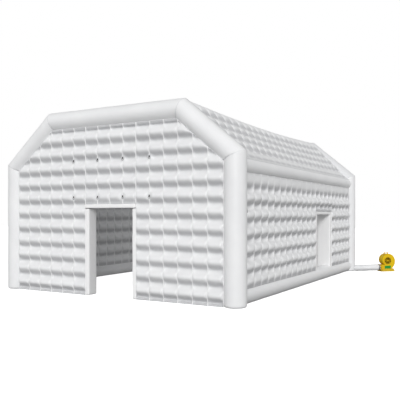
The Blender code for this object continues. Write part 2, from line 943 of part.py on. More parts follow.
def scroll_outline(inset, outlet_end):
    """The spiral and its outlet, drawn in by an inset."""
    turns = [tongue_turn + (math.tau - tongue_turn) * k / scroll_steps for k in range(scroll_steps + 1)]
    outline = []
    for turn in turns:
        radius = scroll_radius(turn) - inset
        outline.append((-radius * math.sin(turn), scroll_height - radius * math.cos(turn)))
    throat_high = scroll_height - scroll_radius(tongue_turn) * math.cos(tongue_turn) - inset
    floor = scroll_height - scroll_end_radius + inset
    outline[-1] = (0, floor)
    outline.append((-outlet_end, floor))
    outline.append((-outlet_end, throat_high))
    outline.append((-scroll_radius(tongue_turn) * math.sin(tongue_turn) - 2 * inset, throat_high))
    return outline


outlet_floor = scroll_height - scroll_end_radius
outlet_roof = scroll_height - scroll_radius(tongue_turn) * math.cos(tongue_turn)
spigot_height = (outlet_floor + outlet_roof) / 2


def bar_along_x(name, radius, ends, centre, parent=blower_frame):
    """A round bar along X that serves as a tool; its ends are counted from its centre."""
    rings = [ring(centre + x_axis * x, y_axis, z_axis, radius, round_sides) for x in ends]
    points, faces = loft(rings)
    return as_cutter(add(name, points, faces, None, parent, smooth_angle))


def bar_along_y(name, radius, ends, height, sides=round_sides, surface=None, parent=blower_frame):
    """A round bar along Y."""
    rings = [ring(Vector((0, y, height)), x_axis, z_axis, radius, sides) for y in ends]
    points, faces = loft(rings)
    return add(name, points, faces, surface, parent, smooth_angle)


points, faces = prism(scroll_outline(0, outlet_reach), -half_scroll, half_scroll, face_on)
housing = add("blower_housing", points, faces, yellow_plastic, blower_frame, smooth_angle)
spigot_start = -outlet_reach + scroll_wall
spigot_end = -outlet_reach - spigot_length
spigot_centre = z_axis * spigot_height
spigot = bar_along_x("spigot_shape", spigot_radius, (spigot_start, spigot_end), spigot_centre)
boolean(housing, spigot, "UNION")
handle_base = scroll_height + scroll_radius(math.pi)
handle_top = handle_base + handle_rise
handle_root = handle_base - handle_bar
half_handle = handle_width / 2
half_handle_top = handle_top_width / 2
handle_outline = [
    (-half_handle, handle_root),
    (-half_handle + handle_bar, handle_root),
    (-half_handle_top + handle_bar, handle_top - handle_bar),
    (half_handle_top - handle_bar, handle_top - handle_bar),
    (half_handle - handle_bar, handle_root),
    (half_handle, handle_root),
    (half_handle_top, handle_top),
    (-half_handle_top, handle_top),
]
points, faces = prism(handle_outline, -handle_depth / 2, handle_depth / 2, face_on)
boolean(housing, as_cutter(add("handle_shape", points, faces, None, blower_frame)), "UNION")
inner_half = half_scroll - scroll_wall
cavity_outline = scroll_outline(scroll_wall, outlet_reach - scroll_wall)
points, faces = prism(cavity_outline, -inner_half, inner_half, face_on)
cavity = as_cutter(add("scroll_cavity", points, faces, None, blower_frame))
bore_ends = (spigot_start + scroll_wall, spigot_end - overrun)
bore = bar_along_x("spigot_bore", spigot_radius - scroll_wall, bore_ends, spigot_centre)
wall_cut = (inner_half - overrun / 2, half_scroll + overrun)
intake_cut = [-y for y in wall_cut]
intake = bar_along_y("intake_cutter", intake_radius, intake_cut, scroll_height, tube_sides)
shaft_hole = bar_along_y("shaft_hole_cutter", shaft_radius * 2, wall_cut, scroll_height)
cut(housing, cavity, bore, as_cutter(intake), as_cutter(shaft_hole))

# The foot: a tray that cradles the scroll, wider at the ground
half_low = foot_width_low / 2
half_high = foot_width_high / 2
foot_outline = [
    (foot_shift - half_low, 0),
    (foot_shift + half_low, 0),
    (foot_shift + half_high, foot_height),
    (foot_shift - half_high, foot_height),
]
cradle_half = half_scroll + gap
foot_half_depth = cradle_half + foot_lip
points, faces = prism(foot_outline, -foot_half_depth, foot_half_depth, face_on)
foot = add("blower_foot", points, faces, yellow_plastic, blower_frame)
points, faces = prism(scroll_outline(-gap, outlet_reach + overrun), -cradle_half, cradle_half, face_on)
cradle = as_cutter(add("cradle_cutter", points, faces, None, blower_frame))
cut(foot, cradle)
foot.modifiers[-1].solver = "MANIFOLD"

# The intake guard: rings and spokes in one flat moulding
spoke_edge = guard_bar / guard_radius
hole_turns = math.tau / guard_spokes
ring_space = (intake_radius - guard_hub_radius) / guard_rings
guard_radii = [0.0, guard_hub_radius]
for k in range(1, guard_rings + 1):
    middle = guard_hub_radius + ring_space * k
    guard_radii += [middle - guard_bar, middle] if k < guard_rings else [middle - guard_bar, guard_radius]
guard_angles = []
for spoke in range(guard_spokes):
    start = spoke * hole_turns
    guard_angles.append(start - spoke_edge)
    guard_angles.append(start + spoke_edge)
    guard_angles.append(start + hole_turns / 2)
guard_count = len(guard_angles)
points = [Vector((0, 0, scroll_height))]
for radius in guard_radii[1:]:
    for angle in guard_angles:
        points.append(Vector((radius * math.cos(angle), 0, scroll_height + radius * math.sin(angle))))
faces = []
for k in range(guard_count):
    after = (k + 1) % guard_count
    faces.append((0, 1 + k, 1 + after))
    for level in range(1, len(guard_radii) - 1):
        is_gap = level % 2 == 1 and k % guard_steps != 0
        if not is_gap:
            low = 1 + (level - 1) * guard_count
            faces.append((low + k, low + after, low + guard_count + after, low + guard_count + k))
guard = add("intake_guard", points, faces, black_plastic, blower_frame)
guard.location = (0, -half_scroll - gap, 0)
sheet = guard.modifiers.new("moulding depth", "SOLIDIFY")
sheet.thickness = guard_depth
sheet.offset = 1
sheet.use_even_offset = False
if guard.data.polygons[0].normal.y > 0:
    guard.data.flip_normals()

# The impeller: a back plate, a front ring, curved vanes between them, a hub and a shaft
wheel_front = -wheel_depth / 2
wheel_back = wheel_depth / 2
wheel = empty("impeller_axis", (0, 0, scroll_height))
wheel.parent = blower_frame
wheel_sides = 2 * vane_count
plate_ends = (wheel_back - wheel_plate, wheel_back)
impeller = bar_along_y("impeller", wheel_radius, plate_ends, 0, wheel_sides, black_plastic, wheel)


def vane_outline(turn):
    """A thin curved vane from the ring's inner edge to its outer edge, leaning as it goes out."""
    middle = []
    for k in range(vane_steps + 1):
        share = k / vane_steps
        radius = wheel_inner_radius + (wheel_radius - wheel_inner_radius - vane_ply) * share
        angle = turn + vane_lean * share**vane_curve_power
        middle.append(Vector((radius * math.cos(angle), radius * math.sin(angle))))
    sides = []
    for k, here in enumerate(middle):
        low = middle[max(0, k - 1)]
        high = middle[min(vane_steps, k + 1)]
        run = (high - low).normalized()
        sides.append((here, Vector((-run.y, run.x)) * (vane_ply / 2)))
    return [tuple(p + off) for p, off in sides] + [tuple(p - off) for p, off in sides[::-1]]


points = []
faces = []
vane_front = wheel_front + wheel_plate / 2
vane_back = wheel_back - wheel_plate / 2
for number in range(vane_count):
    turn = math.tau * (number + vane_start_share) / vane_count
    more_points, more_faces = prism(vane_outline(turn), vane_front, vane_back, face_on)
    faces.extend(tuple(len(points) + k for k in face) for face in more_faces)
    points.extend(more_points)
vanes = as_cutter(add("vane_shapes", points, faces, None, wheel))
boolean(impeller, vanes, "UNION")
front_ring_rings = []
for radius in (wheel_radius, wheel_inner_radius):
    front_ring_rings.append(
        [
            ring(Vector((0, y, 0)), x_axis, z_axis, radius, wheel_sides)
            for y in (wheel_front, wheel_front + wheel_plate)
        ]
    )
points, faces = hollow_loft(*front_ring_rings)
boolean(impeller, as_cutter(add("front_ring_shape", points, faces, None, wheel)), "UNION")
hub_front = wheel_back - wheel_plate - hub_depth
hub_profile = [
    (hub_radius * hub_nose_share, hub_front),
    (hub_radius, hub_front + hub_depth * hub_cone_share),
    (hub_radius, vane_back),
]
hub_rings = [ring(y_axis * y, x_axis, z_axis, radius, round_sides) for radius, y in hub_profile]
points, faces = loft(hub_rings)
boolean(impeller, as_cutter(add("hub_shape", points, faces, None, wheel)), "UNION")
shaft_end = half_scroll + gap + shaft_length
shaft = bar_along_y("shaft_shape", shaft_radius, (vane_back, shaft_end), 0, parent=wheel)
boolean(impeller, as_cutter(shaft), "UNION")

# The motor: a finned can on the back of the housing, with a box for the switch and the cord's gland
motor_start = half_scroll + gap
fin_pitch = motor_length * motor_finned_share / motor_fins
groove_radius = motor_radius - motor_fin_depth
groove_start, groove_stop, fin_start = (fin_pitch * share for share in motor_groove_shares)
profile = [(motor_radius, motor_start), (motor_radius, motor_start + fin_pitch / 2)]
for k in range(motor_fins):
    near = motor_start + fin_pitch / 2 + fin_pitch * k
    profile.append((groove_radius, near + groove_start))
    profile.append((groove_radius, near + groove_stop))
    profile.append((motor_radius, near + fin_start))
    profile.append((motor_radius, near + fin_pitch))
for share, y in zip(motor_end_shares, (motor_back - motor_fin_depth, motor_back)):
    profile.append((motor_radius * share, y))
can_rings = [ring(Vector((0, y, scroll_height)), x_axis, z_axis, r, motor_sides) for r, y in profile]
points, faces = loft(can_rings)
motor = add("blower_motor", points, faces, black_plastic, blower_frame, smooth_angle)
box_low = scroll_height + groove_radius - overrun / 2
box_high = scroll_height + motor_radius + box_height
box_start = motor_start + fin_pitch
box_end = box_start + box_length
half_box = box_width / 2
box_corners = ((-half_box, box_start, box_low), (half_box, box_end, box_high))
boolean(motor, as_cutter(block("switch_box_shape", *box_corners, None, blower_frame)), "UNION")
gland_height = box_high - box_height / 2
gland_y = (box_start + box_end) / 2
gland_centre = Vector((0, gland_y, gland_height))
gland_end = half_box + cord_gland_length
gland_ends = (half_box - overrun / 2, gland_end)
boolean(motor, bar_along_x("gland_shape", cord_gland_radius, gland_ends, gland_centre), "UNION")
gland_bore = bar_along_x("gland_bore", cord_bore_radius, (half_box, gland_end + overrun), gland_centre)
socket_ends = (motor_start - overrun, shaft_end + pivot_gap)
socket = bar_along_y("shaft_socket", shaft_radius + pivot_gap, socket_ends, scroll_height)
rocker_sweep = math.hypot(rocker_half_length, rocker_rise) + pivot_gap
half_rocker = rocker_width / 2
well_half = half_rocker + gap
well = block(
    "rocker_well",
    (-well_half, gland_y - rocker_sweep, box_high - rocker_depth - 2 * pivot_gap),
    (well_half, gland_y + rocker_sweep, box_high + overrun),
    None,
    blower_frame,
)
cut(motor, gland_bore, as_cutter(socket), as_cutter(well))

# The switch: a rocker that tips about a pivot level with the top of its box
rocker_axis = empty("rocker_axis", (0, gland_y, box_high))
rocker_axis.parent = blower_frame
rocker_outline = [(-rocker_half_length, rocker_rise), (0, rocker_dish), (rocker_half_length, rocker_rise)]
rocker_outline += [
    (rocker_half_length, 0),
    (rocker_half_length / 2, -rocker_depth),
    (-rocker_half_length / 2, -rocker_depth),
    (-rocker_half_length, 0),
]
points, faces = prism(rocker_outline, -half_rocker, half_rocker, lambda u, v, level: Vector((level, u, v)))
add("switch_rocker", points, faces, black_plastic, rocker_axis)

# The plain green plate on the lower face of the housing
plate_low = foot_height + gap
plate_back = -half_scroll - gap
block(
    "face_plate",
    (-plate_width / 2, plate_back - plate_ply, plate_low),
    (plate_width / 2, plate_back, plate_low + plate_height),
    green_plate,
    blower_frame,
)


# The sleeve: an air duct from the foot of the rear right post to the spigot, held there by a strap
def blower_point(x, y, z):
    """A place given in the blower's own directions, in the tent's frame."""
    turned = Matrix.Rotation(blower_turn, 3, "Z") @ Vector((x, y, z))
    return turned + Vector(blower_place)


outlet_way = Matrix.Rotation(blower_turn, 3, "Z") @ x_axis
grip_inner = spigot_radius + gap
grip_outer = grip_inner + sleeve_ply
post_centre = Vector((half_width, half_length, sleeve_radius))
leave_way = Vector((math.cos(sleeve_leave), math.sin(sleeve_leave), 0))
sleeve_start = post_centre + leave_way * (tube_radius / 2)
neck = blower_point(spigot_end - spigot_length / 2, 0, spigot_height)
span = (neck - sleeve_start).length
stations = []
for k in range(sleeve_steps + 1):
    t = k / sleeve_steps
    pull_a = leave_way * span
    pull_b = outlet_way * span
    spot = (
        sleeve_start * (2 * t**3 - 3 * t**2 + 1)
        + pull_a * (t**3 - 2 * t**2 + t)
        + neck * (3 * t**2 - 2 * t**3)
        + pull_b * (t**3 - t**2)
    )
    way = (
        sleeve_start * (6 * t**2 - 6 * t)
        + pull_a * (3 * t**2 - 4 * t + 1)
        + neck * (6 * t - 6 * t**2)
        + pull_b * (3 * t**2 - 2 * t)
    ).normalized()
    stations.append((spot, way, sleeve_radius))
grip_start = blower_point(spigot_end - gap, 0, spigot_height)
grip_end = blower_point(spigot_end + sleeve_grip, 0, spigot_height)
stations.append((grip_start, outlet_way, grip_outer))
stations.append((grip_end, outlet_way, grip_outer))
outer = []
inner = []
for spot, way, radius in stations:
    sideways = z_axis.cross(way).normalized()
    upwards = way.cross(sideways)
    outer.append(ring(spot, sideways, upwards, radius, round_sides))
    inner.append(ring(spot, sideways, upwards, radius - sleeve_ply, round_sides))
points, faces = hollow_loft(outer, inner)
sleeve = add("inflation_sleeve", points, faces, white_sleeve, tent_frame, smooth_angle)
cut(sleeve, arch_cutters[1])

strap_inner = grip_outer + gap
strap_outer = strap_inner + strap_ply
strap_middle = spigot_end + sleeve_grip / 2
strap_edges = (strap_middle - strap_width / 2, strap_middle + strap_width / 2)
strap_rings = []
for radius in (strap_outer, strap_inner):
    centres = [Vector((x, 0, spigot_height)) for x in strap_edges]
    strap_rings.append([ring(centre, y_axis, z_axis, radius, round_sides) for centre in centres])
points, faces = hollow_loft(*strap_rings)
strap = add("sleeve_strap", points, faces, black_web, blower_frame, smooth_angle)
half_buckle = strap_buckle_width / 2
buckle = block(
    "buckle_shape",
    (strap_middle - half_buckle, -strap_outer - strap_buckle_height / 2, spigot_height - half_buckle),
    (strap_middle + half_buckle, -strap_inner - gap, spigot_height + half_buckle),
    None,
    blower_frame,
)
boolean(strap, as_cutter(buckle), "UNION")
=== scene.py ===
import bpy
import numpy as np
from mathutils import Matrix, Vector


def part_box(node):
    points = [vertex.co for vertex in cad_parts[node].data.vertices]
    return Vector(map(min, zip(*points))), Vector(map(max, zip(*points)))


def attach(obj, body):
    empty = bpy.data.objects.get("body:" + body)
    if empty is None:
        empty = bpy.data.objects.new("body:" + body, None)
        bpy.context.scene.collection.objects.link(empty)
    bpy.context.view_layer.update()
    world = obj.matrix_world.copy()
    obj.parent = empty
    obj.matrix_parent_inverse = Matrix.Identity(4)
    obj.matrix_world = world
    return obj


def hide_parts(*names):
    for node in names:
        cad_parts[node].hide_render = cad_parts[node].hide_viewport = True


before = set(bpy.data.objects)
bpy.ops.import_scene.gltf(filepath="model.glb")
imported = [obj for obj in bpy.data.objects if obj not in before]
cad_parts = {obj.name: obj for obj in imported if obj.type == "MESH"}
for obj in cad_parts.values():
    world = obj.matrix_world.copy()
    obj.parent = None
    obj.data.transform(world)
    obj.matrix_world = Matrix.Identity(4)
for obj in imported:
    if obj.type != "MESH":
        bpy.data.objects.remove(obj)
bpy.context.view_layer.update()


# The camera. A standing person looks at the tent from beyond its front right corner, with a normal
# lens held level. The lens is shifted a little, as the horizon lies below the middle of the picture.
def placed(name, data):
    """A new object of the scene that holds a mesh, a lamp or a camera."""
    thing = bpy.data.objects.new(name, data)
    bpy.context.scene.collection.objects.link(thing)
    return thing


eye_turn = np.radians(29.494)
eye = placed("camera", bpy.data.cameras.new("camera"))
eye.location = (6.763, -13.441, 1.683)
eye.rotation_euler = (np.pi / 2, 0, eye_turn)
eye.data.lens = 50.8
eye.data.sensor_width = 36
eye.data.shift_y = 0.03745
bpy.context.scene.camera = eye


# The floor and the light: a white floor that glows a little, a pale sky that is brightest near the
# horizon on the camera's side, a soft sun there, and a lamp inside for what a white roof lets through.
class Flow:
    """A number, a colour or a direction on its way through a tree of nodes."""

    def __init__(self, nodes, socket):
        self.nodes, self.socket = nodes, socket

    def maths(self, operation, *terms):
        return self.nodes.node("Math", {"operation": operation}, dict(enumerate(terms)))

    def __add__(self, other):
        return self.maths("ADD", self, other)

    def __sub__(self, other):
        return self.maths("SUBTRACT", self, other)

    def __rsub__(self, other):
        return self.maths("SUBTRACT", other, self)

    def __mul__(self, other):
        return self.maths("MULTIPLY", self, other)

    __radd__, __rmul__ = __add__, __mul__

    def size(self):
        """The value without its sign."""
        return self.maths("ABSOLUTE", self)

    def wave(self, pitch):
        """A sine of the value that repeats at a pitch."""
        return self.maths("SINE", self * (2 * np.pi / pitch))

    def dashes(self, pitch=0.006):
        """Stitches along the value, as long as the gaps between them."""
        return self.wave(pitch).step(-0.2, 0.3)

    def step(self, start, stop):
        """A soft step from 0 to 1 between two values."""
        values = {"Value": self, "From Min": start, "From Max": stop}
        return self.nodes.node("MapRange", {"interpolation_type": "SMOOTHSTEP"}, values)

    def line(self, middle, half):
        """1 within half a width of a value, with soft edges, and 0 elsewhere."""
        return 1 - (self - middle).size().step(half * 0.6, half * 1.4)


class Nodes:
    """The tree of nodes of a material or of the sky."""

    def __init__(self, owner):
        owner.use_nodes = True
        self.tree = owner.node_tree

    def node(self, kind, settings=(), values=(), output=0):
        """Adds a node, first its settings and a ramp's stops, then the values or links of its sockets."""
        made = self.tree.nodes.new("ShaderNode" + kind)
        for name, value in dict(settings).items():
            if name == "stops":
                ramp = made.color_ramp
                while len(ramp.elements) < len(value):
                    ramp.elements.new(1)
                for stop, (place, tone) in zip(ramp.elements, value):
                    stop.position = place
                    stop.color = (tone, tone, tone, 1)
            else:
                setattr(made, name, value)
        for name, value in dict(values).items():
            if isinstance(value, Flow):
                self.tree.links.new(value.socket, made.inputs[name])
            else:
                made.inputs[name].default_value = value
        return Flow(self, made.outputs[output])


bpy.context.scene.view_settings.view_transform = "Standard"
floor_reach, floor_drop = 60, 0.001
floor_mesh = bpy.data.meshes.new("floor")
floor_corners = [(x * floor_reach, y * floor_reach, -floor_drop) for x, y in ((-1, -1), (1, -1), (1, 1), (-1, 1))]
floor_mesh.from_pydata(floor_corners, [], [(0, 1, 2, 3)])
floor_finish = bpy.data.materials.new("pale floor")
floor_shader = Nodes(floor_finish).tree.nodes["Principled BSDF"]
floor_glow = {"Emission Color": (1, 1, 1, 1), "Emission Strength": 1}
floor_look = {"Base Color": (0.5, 0.5, 0.5, 1), "Roughness": 1, "Specular IOR Level": 0, **floor_glow}
for socket, value in floor_look.items():
    floor_shader.inputs[socket].default_value = value
floor_mesh.materials.append(floor_finish)
floor = placed("floor", floor_mesh)
floor.visible_diffuse = False
floor.visible_glossy = False

bpy.context.scene.world = bpy.data.worlds.new("studio sky")
sky = Nodes(bpy.context.scene.world)
sky_way = sky.node("TexCoord", output="Generated")
sky_climb = sky.node("SeparateXYZ", values={0: sky_way}, output="Z") * 0.5 + 0.5
sky_steps = [(0.0, 0.16), (0.35, 0.22), (0.45, 0.42), (0.5, 0.95), (0.74, 0.95), (0.86, 0.50), (1.0, 0.36)]
sky_tones = sky.node("ValToRGB", {"stops": sky_steps}, {0: sky_climb})
near_side = {0: sky_way, 1: (np.sin(eye_turn), -np.cos(eye_turn), 0)}
sky_near = sky.node("VectorMath", {"operation": "DOT_PRODUCT"}, near_side, "Value")
sky_lights = sky.node("Background", values={"Color": sky_tones, "Strength": sky_near.step(-0.9, 0.9) * 0.5 + 0.6})
sky_seen = sky.node("Background", values={"Color": (1, 1, 1, 1)})
to_camera = sky.node("LightPath", output="Is Camera Ray")
sky_choice = sky.node("MixShader", values={0: to_camera, 1: sky_lights, 2: sky_seen})
sky.tree.links.new(sky_choice.socket, sky.tree.nodes["World Output"].inputs["Surface"])

sun = placed("soft sun", bpy.data.lights.new("soft sun", "SUN"))
sun.data.energy = 1.35
sun.data.angle = np.radians(20)
sun.rotation_euler = (np.radians(69), 0, np.radians(28))
room_lamp = placed("room lamp", bpy.data.lights.new("room lamp", "AREA"))
room_lamp.data.size = 3
room_lamp.data.energy = 26
room_lamp.location = (-0.5, 0, 3)
room_lamp.visible_camera = False


# The air tubes of the two arches: white coated fabric, each a straight chamber sewn to the next one
# along a slanting seam. The cloth puckers at the seams, and each post ends in a rounded foot.
class Finish(Nodes):
    """A material: a Principled shader, its tones, its gloss and the layers of its relief.

    Each layer is a height from 0 to 1, its depth in metres and its strength.
    """

    def __init__(self, name, **fixed):
        self.material = bpy.data.materials.new(name)
        super().__init__(self.material)
        self.shader = self.tree.nodes["Principled BSDF"]
        for socket, value in fixed.items():
            self.shader.inputs[socket.replace("_", " ")].default_value = value

    def place(self):
        """The point of the object that is shaded."""
        return self.node("TexCoord", output="Object")

    def laid(self):
        """How far along and how far up the cloth the shaded point lies, in metres."""
        spot = self.node("UVMap", {"uv_map": "cloth"})
        return [self.node("SeparateXYZ", values={0: spot}, output=axis) for axis in (0, 1)]

    def mark(self, name):
        """A value that is kept at each point of the mesh."""
        return self.node("Attribute", {"attribute_name": name}, output="Fac")

    def cloudy(self, size, detail=3.0, stretch=(1, 1, 1), rough=0.55):
        """Uneven patches of about a size, from 0 to 1."""
        spot = self.node("Mapping", values={0: self.place(), 3: stretch})
        values = {"Vector": spot, "Scale": 1 / size, "Detail": detail, "Roughness": rough}
        return self.node("TexNoise", values=values)

    def blend(self, share, low, high):
        """One colour turning into another as a share goes from 0 to 1."""
        low, high = ((*tone, 1) if isinstance(tone, tuple) else tone for tone in (low, high))
        return self.node("Mix", {"data_type": "RGBA"}, {0: share, 6: low, 7: high}, output=2)

    def tint(self, share, tone):
        """Lays a colour over the tones, as far as a share."""
        self.tones = self.blend(share, self.tones, tone)

    def give(self, socket, value):
        """Links a flow to a socket of the shader."""
        self.tree.links.new(value.socket, self.shader.inputs[socket])

    def finished(self):
        """Links the tones, the gloss and the layers, each bump laid over the last one."""
        facing = {}
        for height, depth, strength in self.layers:
            values = {"Height": height, "Distance": depth, "Strength": strength, **facing}
            facing = {"Normal": self.node("Bump", values=values)}
        self.give("Normal", facing["Normal"])
        self.give("Base Color", self.tones)
        self.give("Roughness", self.gloss)
        return self.material


def coated_cloth(name, tone, shaded_tone, roughness, weave=0.0016):
    """White coated cloth: a fine weave under a satin coat, faint handling marks and slack creases."""
    made = Finish(name, Specular_IOR_Level=0.3, Coat_Weight=0.5, Coat_Roughness=0.32)
    along, up = made.laid()
    made.tones = made.blend(made.cloudy(0.55, 4).step(0.3, 0.75), shaded_tone, tone)
    threads = along.wave(weave) * up.wave(weave) * 0.5 + 0.5
    made.gloss = roughness + made.cloudy(0.2) * 0.12 + threads * 0.03
    made.layers = [(made.cloudy(0.09, 5, (1, 1, 1.8)), 0.004, 0.35), (threads, 0.0003, 0.25)]
    return made


def paired(a, b):
    """Points of a plane, from two arrays or from an array and a number."""
    return np.stack(np.broadcast_arrays(a, b), -1)


def corners_of(grid):
    """The four corners of each cell of a grid, going round it."""
    return [grid[:-1, :-1], grid[1:, :-1], grid[1:, 1:], grid[:-1, 1:]]


def swept(a, b, c):
    """Six times the signed volume between triangles and the origin."""
    return (a * np.cross(b, c)).sum()


def sewn(name, node, grids, marks, material):
    """One closed mesh from grids of points, which takes the place of a node.

    Each grid is an array of points and one of cloth places. Points that coincide become one, cells
    that have shrunk to a line go, and the whole is turned outside out if its signed volume is
    negative. marks are named values for the points of every grid.
    """
    points, cells, places, count = [], [], [], 0
    for spots, laid in grids:
        number = np.arange(spots[..., 0].size).reshape(spots.shape[:2]) + count
        cells.append(np.stack(corners_of(number), -1).reshape(-1, 4))
        places.append(np.stack(corners_of(laid), -2).reshape(-1, 4, 2))
        points.append(spots.reshape(-1, 3))
        count += number.size
    points, cells, places = (np.concatenate(a) for a in (points, cells, places))
    keys = np.round(points / merge_reach).astype(np.int64)
    _, first, back = np.unique(keys, axis=0, return_index=True, return_inverse=True)
    cells = back.reshape(-1)[cells]
    same = cells == np.roll(cells, -1, axis=1)
    crossed = (cells[:, 0] == cells[:, 2]) | (cells[:, 1] == cells[:, 3])
    whole = (same.sum(1) == 0) & ~crossed
    halved = (same.sum(1) == 1) & ~crossed
    points = points[first]
    faces = [cells[whole], cells[halved][~same[halved]].reshape(-1, 3)]
    laid = [places[whole], places[halved][~same[halved]].reshape(-1, 3, 2)]
    a, b, c, d = (points[faces[0][:, k]] for k in range(4))
    volume = swept(a, b, c) + swept(a, c, d) + swept(*(points[faces[1][:, k]] for k in range(3)))
    if volume < 0:
        faces = [f[:, ::-1] for f in faces]
        laid = [u[:, ::-1] for u in laid]
    mesh = bpy.data.meshes.new(name)
    mesh.from_pydata(points, [], faces[0].tolist() + faces[1].tolist())
    layer = mesh.uv_layers.new(name="cloth")
    layer.data.foreach_set("uv", np.concatenate([u.reshape(-1) for u in laid]).astype(np.float32))
    for mark, values in marks.items():
        kept = np.concatenate([v.reshape(-1) for v in values])[first].astype(np.float32)
        mesh.attributes.new(mark, "FLOAT", "POINT").data.foreach_set("value", kept)
    mesh.shade_smooth()
    mesh.materials.append(material)
    piece = placed(name, mesh)
    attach(piece, "tent")
    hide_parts(node)
    return piece


merge_reach = 1e-6
post_low, post_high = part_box("front_left_post")
far_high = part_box("rear_right_post")[1]
beam_low, beam_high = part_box("front_top_beam")
tube_radius = (post_high.x - post_low.x) / 2
centre = np.array([(post_low.x + far_high.x) / 2, (post_low.y + far_high.y) / 2, 0])
half_width = (far_high.x - post_low.x) / 2 - tube_radius
half_length = (far_high.y - post_low.y) / 2 - tube_radius
shoulder_height = 2.759
top_height = (beam_low.z + beam_high.z) / 2
half_top = 1.6455
foot_round = 0.045
seam_gap = 0.0004
hem_ply = 0.003
hem_over = 0.04
lean_limit = 2
left_line = [(-half_width, 0), (-half_width, shoulder_height), (-half_top, top_height)]
arch_line = np.array(left_line + [(-x, z) for x, z in left_line[::-1]])
runs = arch_line[1:] - arch_line[:-1]
runs = runs / np.linalg.norm(runs, axis=1)[:, None]
leans = runs[1:] + runs[:-1]
leans = leans / np.linalg.norm(leans, axis=1)[:, None]
leans = [None] + [np.array([x, 0, z]) for x, z in leans] + [None]
tube_sides, tube_steps = 72, 28
tube_turn = np.linspace(0, 2 * np.pi, tube_sides + 1)
end_steps = np.array([0, 0.0025, 0.006, 0.011, 0.018, 0.03, 0.045, 0.065, 0.09, 0.12, 0.16])
far_off = 9.0


def along_tube(low, high, middle_steps):
    """Distances along a tube, close together near both ends; one row of the result for each side."""
    low = low[:, None] + end_steps
    high = high[:, None] - end_steps[::-1]
    share = np.linspace(0, 1, middle_steps + 1)[1:-1]
    return np.concatenate([low, low[:, -1:] * (1 - share) + high[:, :1] * share, high], axis=1)


def tube_swell(s, low, high, feet, wander):
    """How much a tube's radius departs from round at each turn and distance along it.

    A narrow groove where it is sewn, puckers that fade away from the seam, and a slow wander in its
    width. At a foot the radius follows a quarter circle instead.
    """
    turn = tube_turn[:, None]
    swell = 0.0011 * np.sin(s * 5.3 + wander + 2 * turn) + 0.0008 * np.sin(s * 11.7 + 3 * turn + wander)
    for away, is_foot in zip((s - low[:, None], high[:, None] - s), feet):
        if is_foot:
            inside = np.clip(foot_round - away, 0, foot_round)
            swell = swell * np.clip(away / 0.1, 0, 1) + np.sqrt(foot_round**2 - inside**2) - foot_round
            continue
        pucker = np.sin(turn * 34 + wander) + 0.6 * np.sin(turn * 53 + 1.3 * wander)
        fade = np.exp(-away / 0.05) * (1 - np.exp(-away / 0.012))
        groove = 0.0045 * np.exp(-((away / 0.0065) ** 2))
        swell = swell - groove + 0.0022 * pucker * fade - 0.0012 * np.exp(-away / 0.06)
    return swell


tube_cloth = coated_cloth("white tube fabric", (0.86, 0.865, 0.87), (0.82, 0.825, 0.835), 0.42)
seam_away, on_hem = tube_cloth.mark("seam_away"), tube_cloth.mark("hem_in")
stitches = seam_away.line(0.012, 0.0012) * tube_cloth.laid()[0].dashes()
hem_stitches = on_hem.line(0.018, 0.001) * tube_cloth.laid()[1].dashes()
tube_cloth.tint(1 - seam_away.step(0.0, 0.007), (0.66, 0.67, 0.69))
tube_cloth.tint(stitches * 0.5, (0.6, 0.6, 0.62))
# Painted shade: the roof's hem over the tube is painted a greyer white than the cloth round it, to dim it where it
# faces the light.
tube_cloth.tint(on_hem.step(-0.001, 0.001), (0.73, 0.735, 0.745))
# Painted shadow: a dark line just inside the hem's edge, where its lip would cast a shadow on the tube.
tube_cloth.tint(on_hem.line(0.002, 0.005) * 0.75, (0.5, 0.505, 0.52))
tube_cloth.tint(hem_stitches * 0.5, (0.55, 0.55, 0.57))
tube_cloth.layers += [(seam_away.step(0.0155, 0.0175), 0.0012, 0.8), (stitches + hem_stitches, 0.0008, 0.7)]
tube_fabric = tube_cloth.finished()


def tube_cover(node, spots, s, low, high, feet, radius, hem):
    """The cover of an air tube from its lines of points, closed at both ends.

    The cloth place is the way round and the way along, in metres. hem is how far each line lies
    inside the edge of the roof's hem.
    """
    poles = [np.broadcast_to(spots[:-1, k].mean(0), spots[:, :1].shape) for k in (0, -1)]
    spots = np.concatenate([poles[0], spots, poles[1]], axis=1)
    s = np.concatenate([s[:, :1], s, s[:, -1:]], axis=1)
    laid = paired(tube_turn[:, None] * radius, s)
    away = [far_off + 0 * s if foot else way for foot, way in zip(feet, (s - low[:, None], high[:, None] - s))]
    marks = {"seam_away": [np.minimum(*away)], "hem_in": [np.broadcast_to(hem[:, None], s.shape)]}
    cover = sewn(f"{node}_cover", node, [(spots + centre, laid)], marks, tube_fabric)
    return cover


def air_tube(node, start, stop, end_leans, feet, wander, roof_side):
    """A tube from start to stop: a circle carried along a line and cut by a plane at each end.

    end_leans are the normals of those planes, or None for a square end. roof_side is 1 or -1 where
    the roof lies behind or in front of the tube, and its hem is sewn over that side.
    """
    run = stop - start
    length = np.linalg.norm(run)
    run = run / length
    across = np.cross([0, 1, 0], run)
    spoke = np.cos(tube_turn)[:, None] * across + np.sin(tube_turn)[:, None] * np.cross(run, across)
    ends = []
    for lean, base, foot, way in zip(end_leans, (0.0, length), feet, (1, -1)):
        shift = np.zeros(len(tube_turn)) if lean is None else -tube_radius * (spoke @ lean) / (run @ lean)
        ends.append(base + shift + way * seam_gap * (not foot))
    s = along_tube(*ends, tube_steps)
    hem = np.full(len(tube_turn), -far_off)
    if roof_side:
        out = np.cross(run, [0, roof_side, 0])
        lean = np.arctan2(spoke[:, 1] * roof_side, spoke @ (out * np.sign(out[2])))
        hem = tube_radius * np.where(np.abs(lean) > lean_limit, -far_off, lean + hem_over)
    swell = tube_swell(s, *ends, feet, wander) + hem_ply * np.clip(hem / 0.008 + 0.5, 0, 1)[:, None]
    spots = start + s[..., None] * run + (tube_radius + swell)[..., None] * spoke[:, None, :]
    return tube_cover(node, spots, s, *ends, feet, tube_radius, hem)


